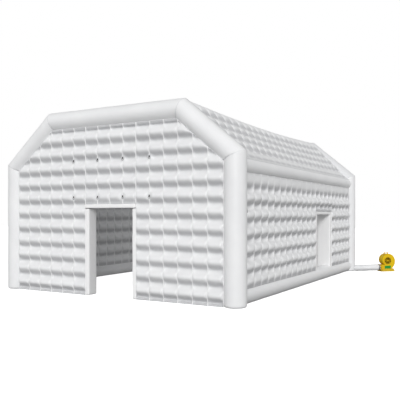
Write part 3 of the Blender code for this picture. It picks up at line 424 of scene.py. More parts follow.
sides = (("left", -1), ("right", 1))
tube_names = ["left_post", "left_shoulder", "top_beam", "right_shoulder", "right_post"]
for end_name, end_y in (("front", -half_length), ("rear", half_length)):
    for k, tube_name in enumerate(tube_names):
        start, stop = (np.array([x, end_y, z]) for x, z in arch_line[k : k + 2])
        roof_side = -np.sign(end_y) if 0 < k < 4 else 0
        air_tube(f"{end_name}_{tube_name}", start, stop, leans[k : k + 2], (k == 0, k == 4), k * 1.7 + end_y, roof_side)


# The beams that join the arches: eave beams under the roof's edge and base beams on the ground.
# Their ends are cut to the round posts, and the base beams are pressed flat where they stand.
def arch_reach(x, z):
    """How far a point in the plane of an arch lies from the arch's middle line.

    The point belongs to the post, the shoulder or the top by the side of the seams' planes that it
    is on, and the distance is measured square to that tube's line.
    """
    spot = np.stack([-np.abs(x), z], -1)
    share = [spot - arch_line[1], spot - arch_line[2]]
    past = [s @ leans[k + 1][[0, 2]] > 0 for k, s in enumerate(share)]
    post = np.abs(spot[..., 0] + half_width)
    shoulder = np.abs(share[0] @ np.array([-runs[1][1], runs[1][0]]))
    top = np.abs(spot[..., 1] - top_height)
    return np.where(past[1], top, np.where(past[0], shoulder, post))


def arch_face(x, z, gap=0.0008):
    """How far from the tent's middle the arch's surface is met, going along the tent at x and z."""
    reach = np.minimum(arch_reach(x, z), tube_radius)
    return half_length - np.sqrt((tube_radius + gap) ** 2 - reach**2)


eave_low, eave_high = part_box("right_eave_beam")
side_middle = (eave_low.x + eave_high.x) / 2 - centre[0]
side_margin = 0.285
roof_pitch = 0.341905
hem_bulge = 0.007
plain_steps, hemmed_steps = 64, 300


def side_beam(node, side, height, radius, flatten=0.0, wander=0.0, hem_turn=None):
    """A beam along the tent: a circle carried from the front arch's surface to the rear arch's.

    flatten is how high the ground stands over its lowest point. Above hem_turn, on its outer side, the
    roof's hem is sewn over it and bulges a little between the roof's seams.
    """
    turn = tube_turn
    lowest = height - radius + flatten
    reach = arch_face(side * side_middle + radius * np.cos(turn), np.maximum(height + radius * np.sin(turn), lowest))
    s = along_tube(-reach, reach, plain_steps if hem_turn is None else hemmed_steps)
    swell = tube_swell(s, -reach, reach, (False, False), wander)
    hem = np.full(len(turn), -far_off)
    if hem_turn is not None:
        lean = np.arctan2(np.sin(turn), side * np.cos(turn))
        hem = radius * np.where(lean > lean_limit, -far_off, lean - hem_turn)
        cell = np.abs(np.sin(np.pi * (s + half_length - side_margin) / roof_pitch)) ** 0.6
        swell = swell + np.clip(hem / 0.02 + 0.5, 0, 1)[:, None] * (hem_ply + hem_bulge * cell)
    x = side * side_middle + (radius + swell) * np.cos(turn)[:, None]
    z = np.maximum(height + (radius + swell) * np.sin(turn)[:, None], lowest)
    return tube_cover(node, np.stack([x, s, z], -1), s, -reach, reach, (False, False), radius, hem)


eave_full = 0.012
eave_radius = (eave_high.z - eave_low.z) / 2 + eave_full
eave_height = (eave_high.z + eave_low.z) / 2 - eave_full
base_radius = 0.177
base_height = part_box("right_base_beam")[1].z - base_radius
for side_name, side in sides:
    side_beam(f"{side_name}_eave_beam", side, eave_height, eave_radius, wander=side, hem_turn=np.radians(43))
    side_beam(f"{side_name}_base_beam", side, base_height, base_radius, base_radius - base_height, wander=2 * side)


# The quilted walls: air panels of coated fabric between two skins. Sewn seams cross both skins; across
# the wall run deep folds, over which each row sags like a pillow, and up it run flat taped seams.
tape_half = 0.011
across_steps = np.array([0, 0.0085, tape_half, 0.015, 0.022, 0.033, 0.05, 0.08, 0.12])
wide_steps = np.array([0, tape_half, 0.016, 0.028, 0.05, 0.09])
wave_shares = np.arange(15) / 15


def lines_across(seams, steps):
    """Grid lines over a row of cells: close beside each seam, wider towards the middle of a cell."""
    found = []
    for a, b in zip(seams[:-1], seams[1:]):
        near = steps[steps < (b - a) * 0.45]
        found += [*(a + near), (a + b) / 2, *(b - near)]
    return np.unique(np.round(found, 6))


def lines_up(seams, shares):
    """Grid lines up a column of cells, at shares of each cell counted down from its upper seam."""
    found = [b - (b - a) * shares for a, b in zip(seams[:-1], seams[1:])]
    return np.unique(np.round(np.concatenate([seams[:1], *found]), 6))


def cell_of(lines, seams):
    """The number of the cell that each grid line is in, its share across it, and the way to a seam."""
    number = np.clip(np.searchsorted(seams, lines, side="right") - 1, 0, len(seams) - 2)
    width = seams[number + 1] - seams[number]
    share = np.clip((lines - seams[number]) / width, 0, 1)
    return number, share, np.minimum(share, 1 - share) * width


def rounded(x):
    """A quarter circle's rise from 0 to 1."""
    return np.sqrt(1 - (1 - np.clip(x, 0, 1)) ** 2)


def waved(t):
    """A row's height down from its upper seam: a soft wave, a little broader over its crown.

    It is the half of 1 - cos of an angle that runs slower near the middle of the row, and it repeats
    from row to row.
    """
    late = t - 0.012 * (1 - np.cos(2 * np.pi * t))
    turn = late + 0.12 / (2 * np.pi) * np.sin(2 * np.pi * late)
    return (1 - np.cos(2 * np.pi * turn)) / 2


def pillows(
    across, up, columns, rows, crown, fold, seed, shape=waved, fills=None, sag=0.01, calm=(), soft=0.05, follow=0.3
):
    """The height of a quilted skin over its flat taped seams, and the marks that its cloth keeps.

    Across a cell the pillow rises in a quarter circle, as wide as soft, from the tape, which follows a
    share of the wave. Up a cell it goes from fold to fold over its crown, lower in the middle by sag.
    Each cell is a little fuller or slacker than the next one, and the cloth puckers beside its seams.
    It lies flat round each place in calm, where something is sewn on. The last mark is the way to the
    painted shade on the underside of each pillow, below its crown, which fades beside the taped seams.
    """
    # The share down each row, from its upper seam, where the painted shade is darkest.
    painted_shade_at = 0.86
    i, share_across, way_across = cell_of(across, columns)
    j, share, _ = cell_of(up, rows)
    i, way_across, x = i[:, None], way_across[:, None], across[:, None]
    j, z, share = j[None, :], up[None, :], share[None, :]
    tall = (np.diff(rows))[j]
    uneven = np.sin(12.99 * i + 78.23 * j + seed) + 0.6 * np.sin(4.7 * i + 9.1 * j + 2 * seed)
    bow = (1 - (2 * share_across - 1) ** 2)[:, None] * (1 + 0.25 * np.sin(5.1 * i + seed))
    bow = bow * np.clip(np.minimum(z - rows[0], rows[-1] - z) / 0.3 - 0.15, 0, 1)
    t = 1 - share - bow * sag / tall
    full = shape(t) * (1 if fills is None else np.asarray(fills)[j])
    ends = np.full(len(rows), fold, float)
    ends[[0, -1]] = 0
    valley = ends[j] * (1 - share) + ends[j + 1] * share
    height = full * (crown + valley) - valley
    height = height + 0.07 * crown * uneven * np.sin(np.pi * share) ** 2
    height += 0.0022 * np.sin(np.pi * share) * np.sin(x * 9 + 2.1 * j + seed)
    way_up = np.minimum(t % 1, 1 - t % 1) * tall
    height -= 0.0012 * (1 + np.sin(x * 120 + 11 * j + 3 * np.sin(x * 23))) * np.exp(-way_up / 0.02)
    lift = rounded((way_across - tape_half) / soft)
    inward = np.clip(np.minimum(x - columns[0], columns[-1] - x) / 0.1, 0, 1)
    side_fade = np.exp(-np.maximum(way_across - tape_half, 0) / 0.02)
    side_pucker = np.sin(z * 140 + 7 * i + 2.5 * np.sin(z * 31)) * side_fade
    tape = 0.003 + 0.001 * np.sin(z * 21 + 3 * i)
    still = 1
    for at_x, at_z in calm:
        way = np.hypot((x - at_x) / 0.034, (z - at_z) / 0.05)
        still = still * (1 - np.cos(np.pi * np.clip((way - 1) / 1.5, 0, 1))) / 2
    seam = (height - tape) * follow * inward
    height = tape + (seam + (height - tape - seam - 0.0016 * side_pucker) * lift) * still
    away = np.broadcast_to(way_across, height.shape)
    # Painted shade: the way from the band of painted shade under each crown, lighter beside the tape.
    way_to_painted_shade = np.abs((t + 0.5 - painted_shade_at) % 1 - 0.5) * tall + 0.07 * (1 - rounded(way_across / soft)) ** 2
    return height, away, way_up, way_to_painted_shade


quilt_cloth = coated_cloth("white quilt fabric", (0.84, 0.845, 0.85), (0.80, 0.805, 0.815), 0.46)
tape_away = quilt_cloth.mark("tape_away")
on_tape = 1 - tape_away.step(tape_half - 0.003, tape_half - 0.001)
tape_stitches = tape_away.line(tape_half - 0.004, 0.0009) * quilt_cloth.laid()[1].dashes()
# Painted shade: the underside of each pillow's crown is painted grey, a little unevenly, for the shade that falls
# there.
painted_fold_shade = (1 - quilt_cloth.mark("under_away").step(0.0, 0.1)) * (quilt_cloth.cloudy(0.05, 4) * 0.4 + 0.6)
quilt_cloth.tint(painted_fold_shade * 0.9, (0.48, 0.485, 0.5))
quilt_cloth.tint((1 - quilt_cloth.mark("fold_away").step(0.0, 0.004)) * 0.6, (0.6, 0.61, 0.63))
quilt_cloth.tint(on_tape * 0.8, (0.93, 0.93, 0.935))
quilt_cloth.tint(tape_stitches * 0.5, (0.62, 0.62, 0.64))
quilt_cloth.layers += [(on_tape, 0.0012, 0.7), (tape_stitches, 0.0008, 0.7)]
quilt_fabric = quilt_cloth.finished()


def quilted(node, columns, rows, skins, half, fit, edge_away, steps=across_steps, shares=wave_shares):
    """A closed panel of an outer and an inner skin, each with its pillows, and the rim between them.

    fit(across, up, out) trims a grid to the panel's neighbours at that depth and puts it in place.
    edge_away is how far a place is from the trimmed edge, where the skins lie flat.
    """
    across, up = lines_across(columns, steps), lines_up(rows, shares)
    u, v = np.meshgrid(across, up, indexing="ij")
    away = edge_away(u, v)
    flat = rounded((away - 0.012) / 0.035)
    border = np.zeros(u.shape)
    border[1:-1, 1:-1] = 1
    depths, kept = [], []
    for skin in skins:
        height, tape, *ways = pillows(across, up, columns, rows, **skin)
        depths.append((height * flat + 0.003 * rounded(away / 0.006) * (1 - flat)) * border)
        kept.append([np.minimum(tape, away + tape_half * 0.55), *ways])
    levels = [half + depths[0], half * 0.75, half * 0.4, 0, -half * 0.4, -half * 0.75, -half - depths[1]]
    layers = np.stack([fit(u, v, np.broadcast_to(level, u.shape)) for level in levels]) + centre
    laid = np.broadcast_to(paired(u, v), layers.shape[:-1] + (2,))

    def patches(a):
        return [a[0], a[-1][:, ::-1], a[:, :, 0], a[:, ::-1, -1], a[:, 0, ::-1], a[:, -1]]

    marks = {}
    # The third mark is the way to the painted shade under each pillow's crown.
    for name, outer, inner in zip(("tape_away", "fold_away", "under_away"), *kept):
        marks[name] = patches(np.stack([outer] + [inner] * (len(levels) - 1)))
    grids = list(zip(patches(layers), patches(laid)))
    return sewn(f"{node}_quilt", node, grids, marks, quilt_fabric)


wall_half = 0.125
clear = 0.0012
shoulder_rise = (top_height - shoulder_height) / (half_width - half_top)


def tube_bulge(depth, radius):
    """Half the width of a tube at a depth from its middle, with its clearance."""
    return np.sqrt((radius + clear) ** 2 - np.clip(depth, -wall_half, wall_half) ** 2)


def under_arch(x, off):
    """The height at x of the line that lies off inside the arch's middle line."""
    slanted = shoulder_height + (half_width - np.abs(x)) * shoulder_rise - off * np.hypot(1, shoulder_rise)
    return np.minimum(top_height - off, slanted)


def fit_end_wall(end):
    """Trims a front or rear wall to its arch and stands it there; end is -1 at the front."""

    def fit(x, z, out):
        off = tube_bulge(out, tube_radius)
        edge = half_width - off
        for height, radius in ((base_height, base_radius), (eave_height, eave_radius)):
            beside = side_middle - np.sqrt(np.clip((radius + clear) ** 2 - (z - height) ** 2, 0, None))
            edge = np.where(out < -0.001, np.minimum(edge, beside), edge)
        x = np.clip(x, -edge, edge)
        return np.stack([x, end * (half_length + out), np.minimum(z, under_arch(x, off))], -1)

    return fit


def end_wall_away(x, z):
    """How far a place on an end wall is from the arch's edge on it."""
    off = tube_bulge(wall_half, tube_radius)
    side = half_width - off - np.abs(x)
    slant = (under_arch(x, off) - z) / np.hypot(1, shoulder_rise)
    return np.maximum(np.minimum(np.minimum(side, top_height - off - z), slant), 0)


front_pitch = 0.325
front_rise = 0.31
hem = 0.05
slack_end = 0.2
door_seam = 2 * front_pitch
wall_edge = half_width - tube_bulge(wall_half, tube_radius)
wall_top = top_height - tube_bulge(wall_half, tube_radius)
end_columns = np.array([*np.arange(2, 8) * front_pitch, wall_edge])
end_rows = np.array([0, *(hem + np.arange(12) * front_rise), wall_top])
end_rows = end_rows[(end_rows < wall_top - 0.03) | (end_rows == wall_top)]
row_fills = [slack_end] + [1] * (len(end_rows) - 3) + [slack_end]
ring_places = [(column * front_pitch, height) for column in (-3, -1, 1, 3) for height in (2.045, 2.82)]
wall_outer = {"crown": 0.052, "fold": 0.045}
wall_inner = {"crown": 0.02, "fold": 0.03}
end_wall = wall_half, fit_end_wall(-1), end_wall_away
for side_name, side in sides:
    skins = [
        {**wall_outer, "fills": row_fills, "seed": side, "calm": ring_places},
        {**wall_inner, "fills": row_fills, "seed": 2 + side},
    ]
    quilted(f"front_wall_{side_name}", np.sort(side * end_columns), end_rows, skins, *end_wall)
header_low = hem + 6 * front_rise
header_columns = np.arange(-2, 3) * front_pitch
header_columns[[0, -1]] += (clear, -clear)
header_rows = np.array([header_low, *end_rows[end_rows > header_low + 0.1]])
header_fills = [1] * (len(header_rows) - 2) + [slack_end]
skins = [{**wall_outer, "fills": header_fills, "seed": 5, "calm": ring_places}, {**wall_inner, "seed": 6}]
quilted("front_wall_header", header_columns, header_rows, skins, *end_wall)
rear_columns = np.array([*-end_columns[::-1], *(np.arange(-1, 2) * front_pitch), *end_columns])
skins = [{**wall_outer, "fills": row_fills, "seed": seed} for seed in (8, 9)]
quilted("rear_wall", rear_columns, end_rows, skins, wall_half, fit_end_wall(1), end_wall_away, wide_steps)


def fit_side_wall(side):
    """Trims a side wall to the posts and to the beams above and below it; side is -1 at the left."""

    def fit(y, z, out):
        z = np.clip(z, base_height + tube_bulge(out, base_radius), eave_height - tube_bulge(out, eave_radius))
        reach = arch_face(side_middle + np.clip(out, -wall_half, wall_half), z, clear)
        return np.stack([side * (side_middle + out), np.clip(y, -reach, reach), z], -1)

    return fit


def side_wall_away(y, z):
    """How far a place on a side wall is from the tubes round it."""
    away = np.minimum(side_reach - np.abs(y), np.minimum(z - side_low, side_high - z))
    return np.maximum(away, 0)


side_reach = arch_face(np.array(side_middle + wall_half), np.array(1.0), clear)
side_low = base_height + tube_bulge(wall_half, base_radius)
side_high = eave_height - tube_bulge(wall_half, eave_radius)
first_seam, side_rise = 0.26, 0.3223
side_rows = np.array([side_low, *(first_seam + side_rise * np.arange(1, 7)), side_high])
side_last = half_length - side_margin
side_seams = np.linspace(-side_last, side_last, 22)
side_lap, roof_lap = 0.14, 0.05
wall_end = half_length - side_lap
side_columns = np.array([-wall_end, *side_seams, wall_end])
side_outer = {"crown": 0.06, "fold": 0.045, "sag": 0.03, "soft": 0.13, "follow": 0.0}
side_fills = [0.7, 1, 1, 1, 1, 1, 0.4]
skins = [{**side_outer, "fills": side_fills, "seed": seed} for seed in (11, 12)]
quilted("left_wall", side_columns, side_rows, skins, wall_half, fit_side_wall(-1), side_wall_away)
door_front, door_rear = side_seams[12], side_seams[16]
side_header_low = 1.78
over_door = np.array([door_front + clear, *side_seams[13:16], door_rear - clear])
header_rows = np.array([side_header_low, *side_rows[side_rows > side_header_low + 0.05]])
side_parts = [
    ("right_wall_front", np.array([*side_columns[:13], door_front]), side_rows, side_fills),
    ("right_wall_rear", np.array([door_rear, *side_columns[18:]]), side_rows, side_fills),
    ("right_wall_header", over_door, header_rows, [0.25, 1, 0.4]),
]
for k, (node, columns, rows, fills) in enumerate(side_parts):
    skins = [{**side_outer, "fills": fills, "seed": 14 + k}, {**wall_inner, "seed": 18 + k}]
    quilted(node, columns, rows, skins, wall_half, fit_side_wall(1), side_wall_away)


# The quilted roof: a slope from each eave beam and a level top, sewn together along the arch's bends.
# Its weight makes it sag a little between the arches. Its cells are evenly domed.
roof_half = 0.095
slope_lift = 0.07
roof_sag = 0.07
roof_lift = 0.085
roof_corner = np.array([half_top + roof_lift * np.tan(np.arctan(shoulder_rise) / 2), top_height + roof_lift])
slope_foot = np.array([side_middle, eave_height + eave_full + slope_lift])
slope_run = roof_corner - slope_foot
slope_length = np.hypot(*slope_run)
slope_angle = np.arctan2(slope_run[1], -slope_run[0])
slope_cos, slope_sin = np.cos(slope_angle), np.sin(slope_angle)
foot_lift = slope_lift + eave_full


def sagged(x, y, z):
    """Lowers a point of the roof, most midway between the arches and not at all at the eaves."""
    along = np.clip(1 - (y / side_last) ** 2, 0, 1)
    share = np.clip((z - eave_height) / (roof_corner[1] - roof_half - eave_height), 0, 1)
    return np.stack([x, y, z - roof_sag * along * share], -1)


def slope_start(level):
    """Where a slope's cloth leaves the eave beam, at a level over the slope's middle."""
    return np.sqrt((eave_radius + clear) ** 2 - (foot_lift * slope_cos + level) ** 2) - foot_lift * slope_sin


def fit_slope(side):
    """Trims a slope to the eave beam, the top panel and the arches; side is -1 at the left."""

    def fit(y, up, out):
        level = np.clip(out, -roof_half, roof_half)
        up = np.clip(up, slope_start(level), slope_length + level * np.tan(slope_angle / 2) - clear / 2)
        x = slope_foot[0] - up * slope_cos + out * slope_sin
        z = slope_foot[1] + up * slope_sin + out * slope_cos
        reach = arch_face(x, z, clear)
        return sagged(side * x, np.clip(y, -reach, reach), z)

    return fit


def fit_top(y, x, out):
    """Trims the top panel to the slopes and the arches."""
    edge = roof_corner[0] + np.clip(out, -roof_half, roof_half) * np.tan(slope_angle / 2) - clear / 2
    x = np.clip(x, -edge, edge)
    z = roof_corner[1] + out
    reach = arch_face(x, z, clear)
    return sagged(x, np.clip(y, -reach, reach), z)


def domed(t):
    """An even dome across a cell: a flattened half wave."""
    return np.sin(np.pi * np.clip(t, 0, 1)) ** 0.75


def roof_away(rows, fit):
    """The way from a place on a roof panel to its sewn edges and to the arches' surfaces."""

    def away(y, up):
        x, _, z = np.moveaxis(fit(np.zeros_like(y), up, np.full_like(y, roof_half)), -1, 0)
        ends = arch_face(np.abs(x), z, clear) - np.abs(y)
        return np.maximum(np.minimum(ends, np.minimum(up - rows[0], rows[-1] - up) + 0.006), 0)

    return away


dome_shares = np.array([0, 0.02, 0.05, 0.09, 0.15, 0.23, 0.32, 0.41, 0.5, 0.59, 0.68, 0.77, 0.85, 0.91, 0.95, 0.98])
corner_lean = roof_half * np.tan(slope_angle / 2)
slope_rows = np.linspace(slope_start(roof_half), slope_length, 6)
slope_rows[-1] = slope_length + corner_lean - clear / 2
top_rows = np.linspace(-roof_corner[0], roof_corner[0], 10)
top_rows[[0, -1]] += (clear / 2 - corner_lean, corner_lean - clear / 2)
roof_reach = half_length - roof_lap
roof_columns = np.array([-roof_reach, *side_seams, roof_reach])
slope_away = roof_away(slope_rows, fit_slope(1))
roof_parts = [
    ("roof_left_slope", slope_rows, fit_slope(-1), slope_away, (20, 23)),
    ("roof_right_slope", slope_rows, fit_slope(1), slope_away, (22, 25)),
    ("roof_top", top_rows, fit_top, roof_away(top_rows, fit_top), (27, 28)),
]
for node, rows, fit, away, seeds in roof_parts:
    shared = {"shape": domed, "sag": 0, "soft": 0.12, "follow": 0.0}
    shared["fills"] = None if node == "roof_top" else [0.45, 1, 1, 1, 1]
    depths = ((0.045, 0.03), (0.012, 0.012))
    skins = [{**shared, "crown": crown, "fold": fold, "seed": seed} for (crown, fold), seed in zip(depths, seeds)]
    quilted(node, roof_columns, rows, skins, roof_half, fit, away, wide_steps, dome_shares)


# The linings of the doorways: tight padded frames of brighter coated fabric. Two jambs and a lintel
# stand in the front doorway; one bent lining goes round the side doorway, over the base beam.
lining_cloth = coated_cloth("white lining fabric", (0.94, 0.94, 0.94), (0.91, 0.91, 0.915), 0.4)
edge_away = lining_cloth.mark("seam_away")
lining_stitches = edge_away.line(0.008, 0.001) * lining_cloth.laid()[0].dashes()
lining_cloth.tint((1 - edge_away.step(0.0, 0.004)) * 0.8, (0.6, 0.61, 0.63))
lining_cloth.tint(lining_stitches * 0.4, (0.6, 0.6, 0.62))
lining_cloth.layers += [(lining_stitches, 0.0008, 0.7)]
lining_fabric = lining_cloth.finished()


def powered(x, power):
    """The value to a power that keeps its sign."""
    x = np.where(np.abs(x) < 1e-9, 0, x)
    return np.sign(x) * np.abs(x) ** power


def oblong(turn, power_x, power_y):
    """The x and y of a soft-cornered section: powers of the cosine and the sine of each turn."""
    return powered(np.cos(turn), power_x), powered(np.sin(turn), power_y)


def way_along(path):
    """How far each point of a path is from its start."""
    return np.concatenate([[0], np.cumsum(np.linalg.norm(np.diff(path, axis=0), axis=1))])


def bolster(node, inside, outside, wide, near, far, put, rounding=0.028, seams_at=()):
    """A padded bar: a soft-cornered oblong section carried along a path in the plane of its wall.

    inside and outside are the two sides of the path. The section shrinks in a quarter turn towards a
    rounded end, and the ends are closed by smaller and smaller sections. put turns a place along, a
    height and a depth into space.
    """
    middle, half = (inside + outside) / 2, (outside - inside) / 2
    along = way_along(middle)
    shrink = np.zeros(len(along))
    if rounding:
        near_end = np.clip(1 - np.minimum(along, along[-1] - along) / rounding, 0, 1)
        shrink = rounding * (1 - np.sqrt(1 - near_end**2))
    seam_away = np.full(len(along), far_off)
    for seam in seams_at:
        seam_away = np.minimum(seam_away, np.abs(along - along[seam]))
    shrink = shrink + 0.0035 * np.exp(-((seam_away / 0.006) ** 2))
    shrink = shrink - 0.0015 * np.sin(along * 9 + wide * 40) * np.clip(seam_away / 0.05, 0, 1)
    order = np.concatenate([np.zeros(4, int), np.arange(len(along)), np.full(4, len(along) - 1)])
    scale = np.concatenate([[0, 0.35, 0.7, 0.9], np.ones(len(along)), [0.9, 0.7, 0.35, 0]])[:, None]
    a, b = oblong(np.linspace(0, 2 * np.pi, 61), 0.26, 0.26)
    share = scale * a * (1 - shrink[order, None] / (wide / 2))
    depth = (near + far) / 2 + scale * b * ((far - near) / 2 - shrink[order, None])
    flat = middle[order, None, :] + half[order, None, :] * share[..., None]
    spots = put(flat[..., 0], flat[..., 1], depth) + centre
    girth = way_along(np.stack([a * wide / 2, b * (far - near) / 2], -1))
    marks = {"seam_away": [np.broadcast_to(seam_away[order, None], spots.shape[:2])]}
    grids = [(spots, paired(girth, along[order, None]))]
    return sewn(f"{node}_cover", node, grids, marks, lining_fabric)


def eased(low, high, steps, close=0.03):
    """Places between two values that lie close together near both of them."""
    near = np.array([0, 0.06, 0.15, 0.3, 0.5, 0.75, 1.0]) * close
    return np.concatenate([low + near, np.linspace(low + close, high - close, steps)[1:-1], (high - near)[::-1]])


def put_front(x, z, out):
    """The place of a point of the front wall at a distance out of its middle plane."""
    return np.stack([x, -half_length - out, z], -1)


def put_side(y, z, out):
    """The place of a point of the right wall at a distance out of its middle plane, above the base beam."""
    beam_top = base_height + np.sqrt(np.clip((base_radius + clear) ** 2 - out**2, 0, None))
    return np.stack([side_middle + out, y, np.maximum(z, beam_top)], -1)


jamb_width = 0.095
door_height = 1.82
lintel_depth = 0.09
lintel_proud = 0.045
side_jamb_width = 0.139
side_door_height = 1.69
side_lining_reach = 0.08
lining_fuller = 0.035
bolster_gap = 0.0006
up = eased(0, door_height, 40)
for side_name, side in sides:
    inside, outside = (paired(side * (door_seam - off), up) for off in (jamb_width, bolster_gap))
    bolster(f"front_door_{side_name}_jamb", inside, outside, jamb_width, -wall_half, wall_half, put_front)
across = eased(bolster_gap - door_seam, door_seam - bolster_gap, 36)
inside, outside = (paired(across, z) for z in (door_height + bolster_gap, door_height + lintel_depth - bolster_gap))
bolster("front_door_lintel", inside, outside, lintel_depth, -wall_half, wall_half + lintel_proud, put_front)
rise = eased(0, 1, 30, 0.02)
top = eased(0, 1, 24, 0.02)[1:-1, None]
lining_edges = []
for off, high in ((side_jamb_width, side_door_height), (0, side_header_low - bolster_gap)):
    front_leg = paired(door_front + bolster_gap + off, base_height + rise * (high - base_height))
    rear_leg = paired(door_rear - bolster_gap - off, base_height + rise * (high - base_height))
    lining_edges.append(np.concatenate([front_leg, front_leg[-1] * (1 - top) + rear_leg[-1] * top, rear_leg[::-1]]))
seams_at = (len(rise) - 1, len(rise) + len(top))
inner_face = -wall_half - side_lining_reach - lining_fuller
bolster("side_door_frame", *lining_edges, side_jamb_width, inner_face, wall_half, put_side, 0, seams_at)


# The hanging rings: coated steel wire in folded tabs of black webbing, which are sewn to the quilt's
# seams over the door and to the front posts. The rings keep their wire; the tabs are woven anew.
def webbing(name, fuzz_size, **fixed):
    """Woven strap: slanting ribs that meet along the middle, with a fuzz of worn threads."""
    made = Finish(name, **fixed)
    along, over = made.laid()
    made.ribs = (along + over.size()).wave(0.0016) * 0.5 + 0.5
    made.fuzz = made.cloudy(fuzz_size, 4)
    made.tones = made.blend(made.ribs * 0.5 + made.fuzz * 0.4, (0.018, 0.018, 0.02), (0.06, 0.06, 0.065))
    return made


def dressed(node, material):
    """Gives a node of the model a better finish in its own slots."""
    for held in bpy.data.objects[node].material_slots:
        held.material = material


tab_cloth = webbing("black tab webbing", 0.0015, Specular_IOR_Level=0.25, Sheen_Weight=0.25, Sheen_Roughness=0.6)
tab_cloth.gloss = 0.68 + tab_cloth.fuzz * 0.25
tab_cloth.layers = [(tab_cloth.ribs, 0.0004, 0.8), (tab_cloth.fuzz, 0.0002, 0.4)]
tab_webbing = tab_cloth.finished()
ring_coat = Finish("black coated steel", Specular_IOR_Level=0.6)
ring_patches = ring_coat.cloudy(0.006, 4)
ring_coat.tones = ring_coat.blend(ring_patches.step(0.62, 0.8), (0.03, 0.03, 0.033), (0.16, 0.15, 0.14))
ring_coat.gloss = 0.28 + ring_patches * 0.3
ring_coat.layers = [(ring_patches, 0.0003, 0.4)]
ring_steel = ring_coat.finished()
tab_nose = 0.0065
tab_half = 0.0125
tab_ply = 0.0012
tab_rise = 0.036
eye_radius = 0.0050
back_y, front_y = tab_nose - tab_ply, tab_nose - 3 * tab_ply
bend = np.linspace(0, np.pi, 9)
back_part = paired(back_y, np.linspace(0.0355, 0.003, 8))
round_bar = paired(eye_radius * np.cos(bend), -eye_radius * np.sin(bend))
up_share = np.linspace(0, 1, 12)[1:]
soft_share = up_share**2 * (3 - 2 * up_share)
front_part = paired(-eye_radius + (front_y + eye_radius) * np.minimum(soft_share * 2.2, 1), 0.034 * up_share)
tab_path = np.concatenate([back_part, round_bar, front_part])
tab_run = np.gradient(tab_path, axis=0)
tab_facing = paired(tab_run[:, 1], -tab_run[:, 0]) / np.linalg.norm(tab_run, axis=1)[:, None]
section = np.linspace(0, 2 * np.pi, 17)
upright = np.array([0, 0, 1])
facet_turn, facet_half = np.radians(22.5), np.radians(7.5)
node_gap = 0.0003
facet_reach = tube_radius * np.cos(facet_half) + node_gap


def level_ways(turn):
    """The level direction at a turn from the x axis, and the one a quarter turn further."""
    return np.array([np.cos(turn), np.sin(turn), 0]), np.array([-np.sin(turn), np.cos(turn), 0])


def strap_tab(eye_name, hinge, looks):
    """A folded strap: an oblong section carried along the tab's path, closed at both ends.

    The path lies in the upright plane through the hinge that looks the way the tab does.
    """
    a, b = oblong(section, 0.4, 0.6)
    scale = np.concatenate([[0], np.ones(len(tab_path)), [0]])[:, None]
    order = np.concatenate([[0], np.arange(len(tab_path)), [len(tab_path) - 1]])
    plane = tab_path[order, None, :] + tab_facing[order, None, :] * (b * tab_ply * scale)[..., None]
    outward, bar_way = level_ways(looks)
    spots = hinge + (scale * (a * tab_half))[..., None] * bar_way - plane[..., :1] * outward + plane[..., 1:] * upright
    grids = [(spots, paired(way_along(tab_path)[order, None], a * tab_half))]
    return sewn(f"{eye_name}_strap_tab", f"{eye_name}_tab", grids, {}, tab_webbing)


eye_names = [f"{level}_banner_{k}" for level in ("upper", "lower") for k in (1, 2, 3, 4)]
for eye_name in eye_names + ["left_guy", "right_guy"]:
    tab_low, tab_high = (np.array(corner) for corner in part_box(f"{eye_name}_tab"))
    if "banner" in eye_name:
        looks = -np.pi / 2
        hinge = np.array([(tab_low[0] + tab_high[0]) / 2, tab_high[1] - tab_nose, 0])
    else:
        looks = facet_turn if "right" in eye_name else np.pi - facet_turn
        hinge = centre + (half_width * (1 if "right" in eye_name else -1), -half_length, 0)
        hinge = hinge + (facet_reach + tab_nose) * level_ways(looks)[0]
    hinge[2] = tab_high[2] - tab_rise
    strap_tab(eye_name, hinge, looks)
    dressed(f"{eye_name}_ring", ring_steel)


# The deflation zip on the rear left post: a woven tape with a coil of moulded teeth down its middle,
# and a zinc slider that runs on the coil.
tape_cloth = Finish("white zip tape", Specular_IOR_Level=0.3, Sheen_Weight=0.2)
tape_along, tape_over = tape_cloth.laid()
tape_weave = (tape_along.wave(0.0012) * tape_over.wave(0.0012)) * 0.5 + 0.5
tape_dirt = tape_cloth.cloudy(0.03, 4).step(0.4, 0.8)
tape_cloth.tones = tape_cloth.blend(tape_dirt, (0.76, 0.77, 0.79), (0.64, 0.65, 0.66))
tape_cloth.gloss = 0.7 + tape_weave * 0.15
tape_cloth.layers = [(tape_weave, 0.0003, 0.6)]
zip_low, zip_long = 0.25, 0.55
zip_turn = np.radians(127.5)
coil_pitch, coil_half = 0.0033, 0.0035
zip_out, zip_way = level_ways(zip_turn)
zip_foot = centre + (-half_width, half_length, zip_low) + zip_out * facet_reach
zip_rise = np.linspace(0, zip_long, 661)[:, None]
half_tape = np.array([0.4, 1.1, 2.2, 3.1, 3.5, 4.2, 8, 14, 19.6, 20])
tape_x = np.concatenate([-half_tape[::-1], [0], half_tape]) / 1000
coil = np.sqrt(np.clip(1 - (tape_x / coil_half) ** 2, 0, 1))
teeth = 0.72 + 0.28 * np.cos(2 * np.pi * (zip_rise / coil_pitch + 0.5 * (tape_x > 0)))
tape_ply, coil_rise, tape_edge = 0.0018, 0.0028, 0.0199
tape_height = np.where(np.abs(tape_x) > tape_edge, 0, tape_ply + coil_rise * coil * teeth)
tape_rows = zip_foot + tape_x[:, None] * zip_way + zip_rise[..., None] * upright
face, back = (tape_rows + out[..., None] * zip_out for out in (tape_height, 0 * zip_rise))
laid = paired(zip_rise, tape_x)
patches = [(face, laid), (back[:, ::-1], laid[:, ::-1])]
for row, way in ((0, 1), (-1, 0)):
    patches.append((np.stack([face[row], back[row]], way), np.stack([laid[row], laid[row]], way)))
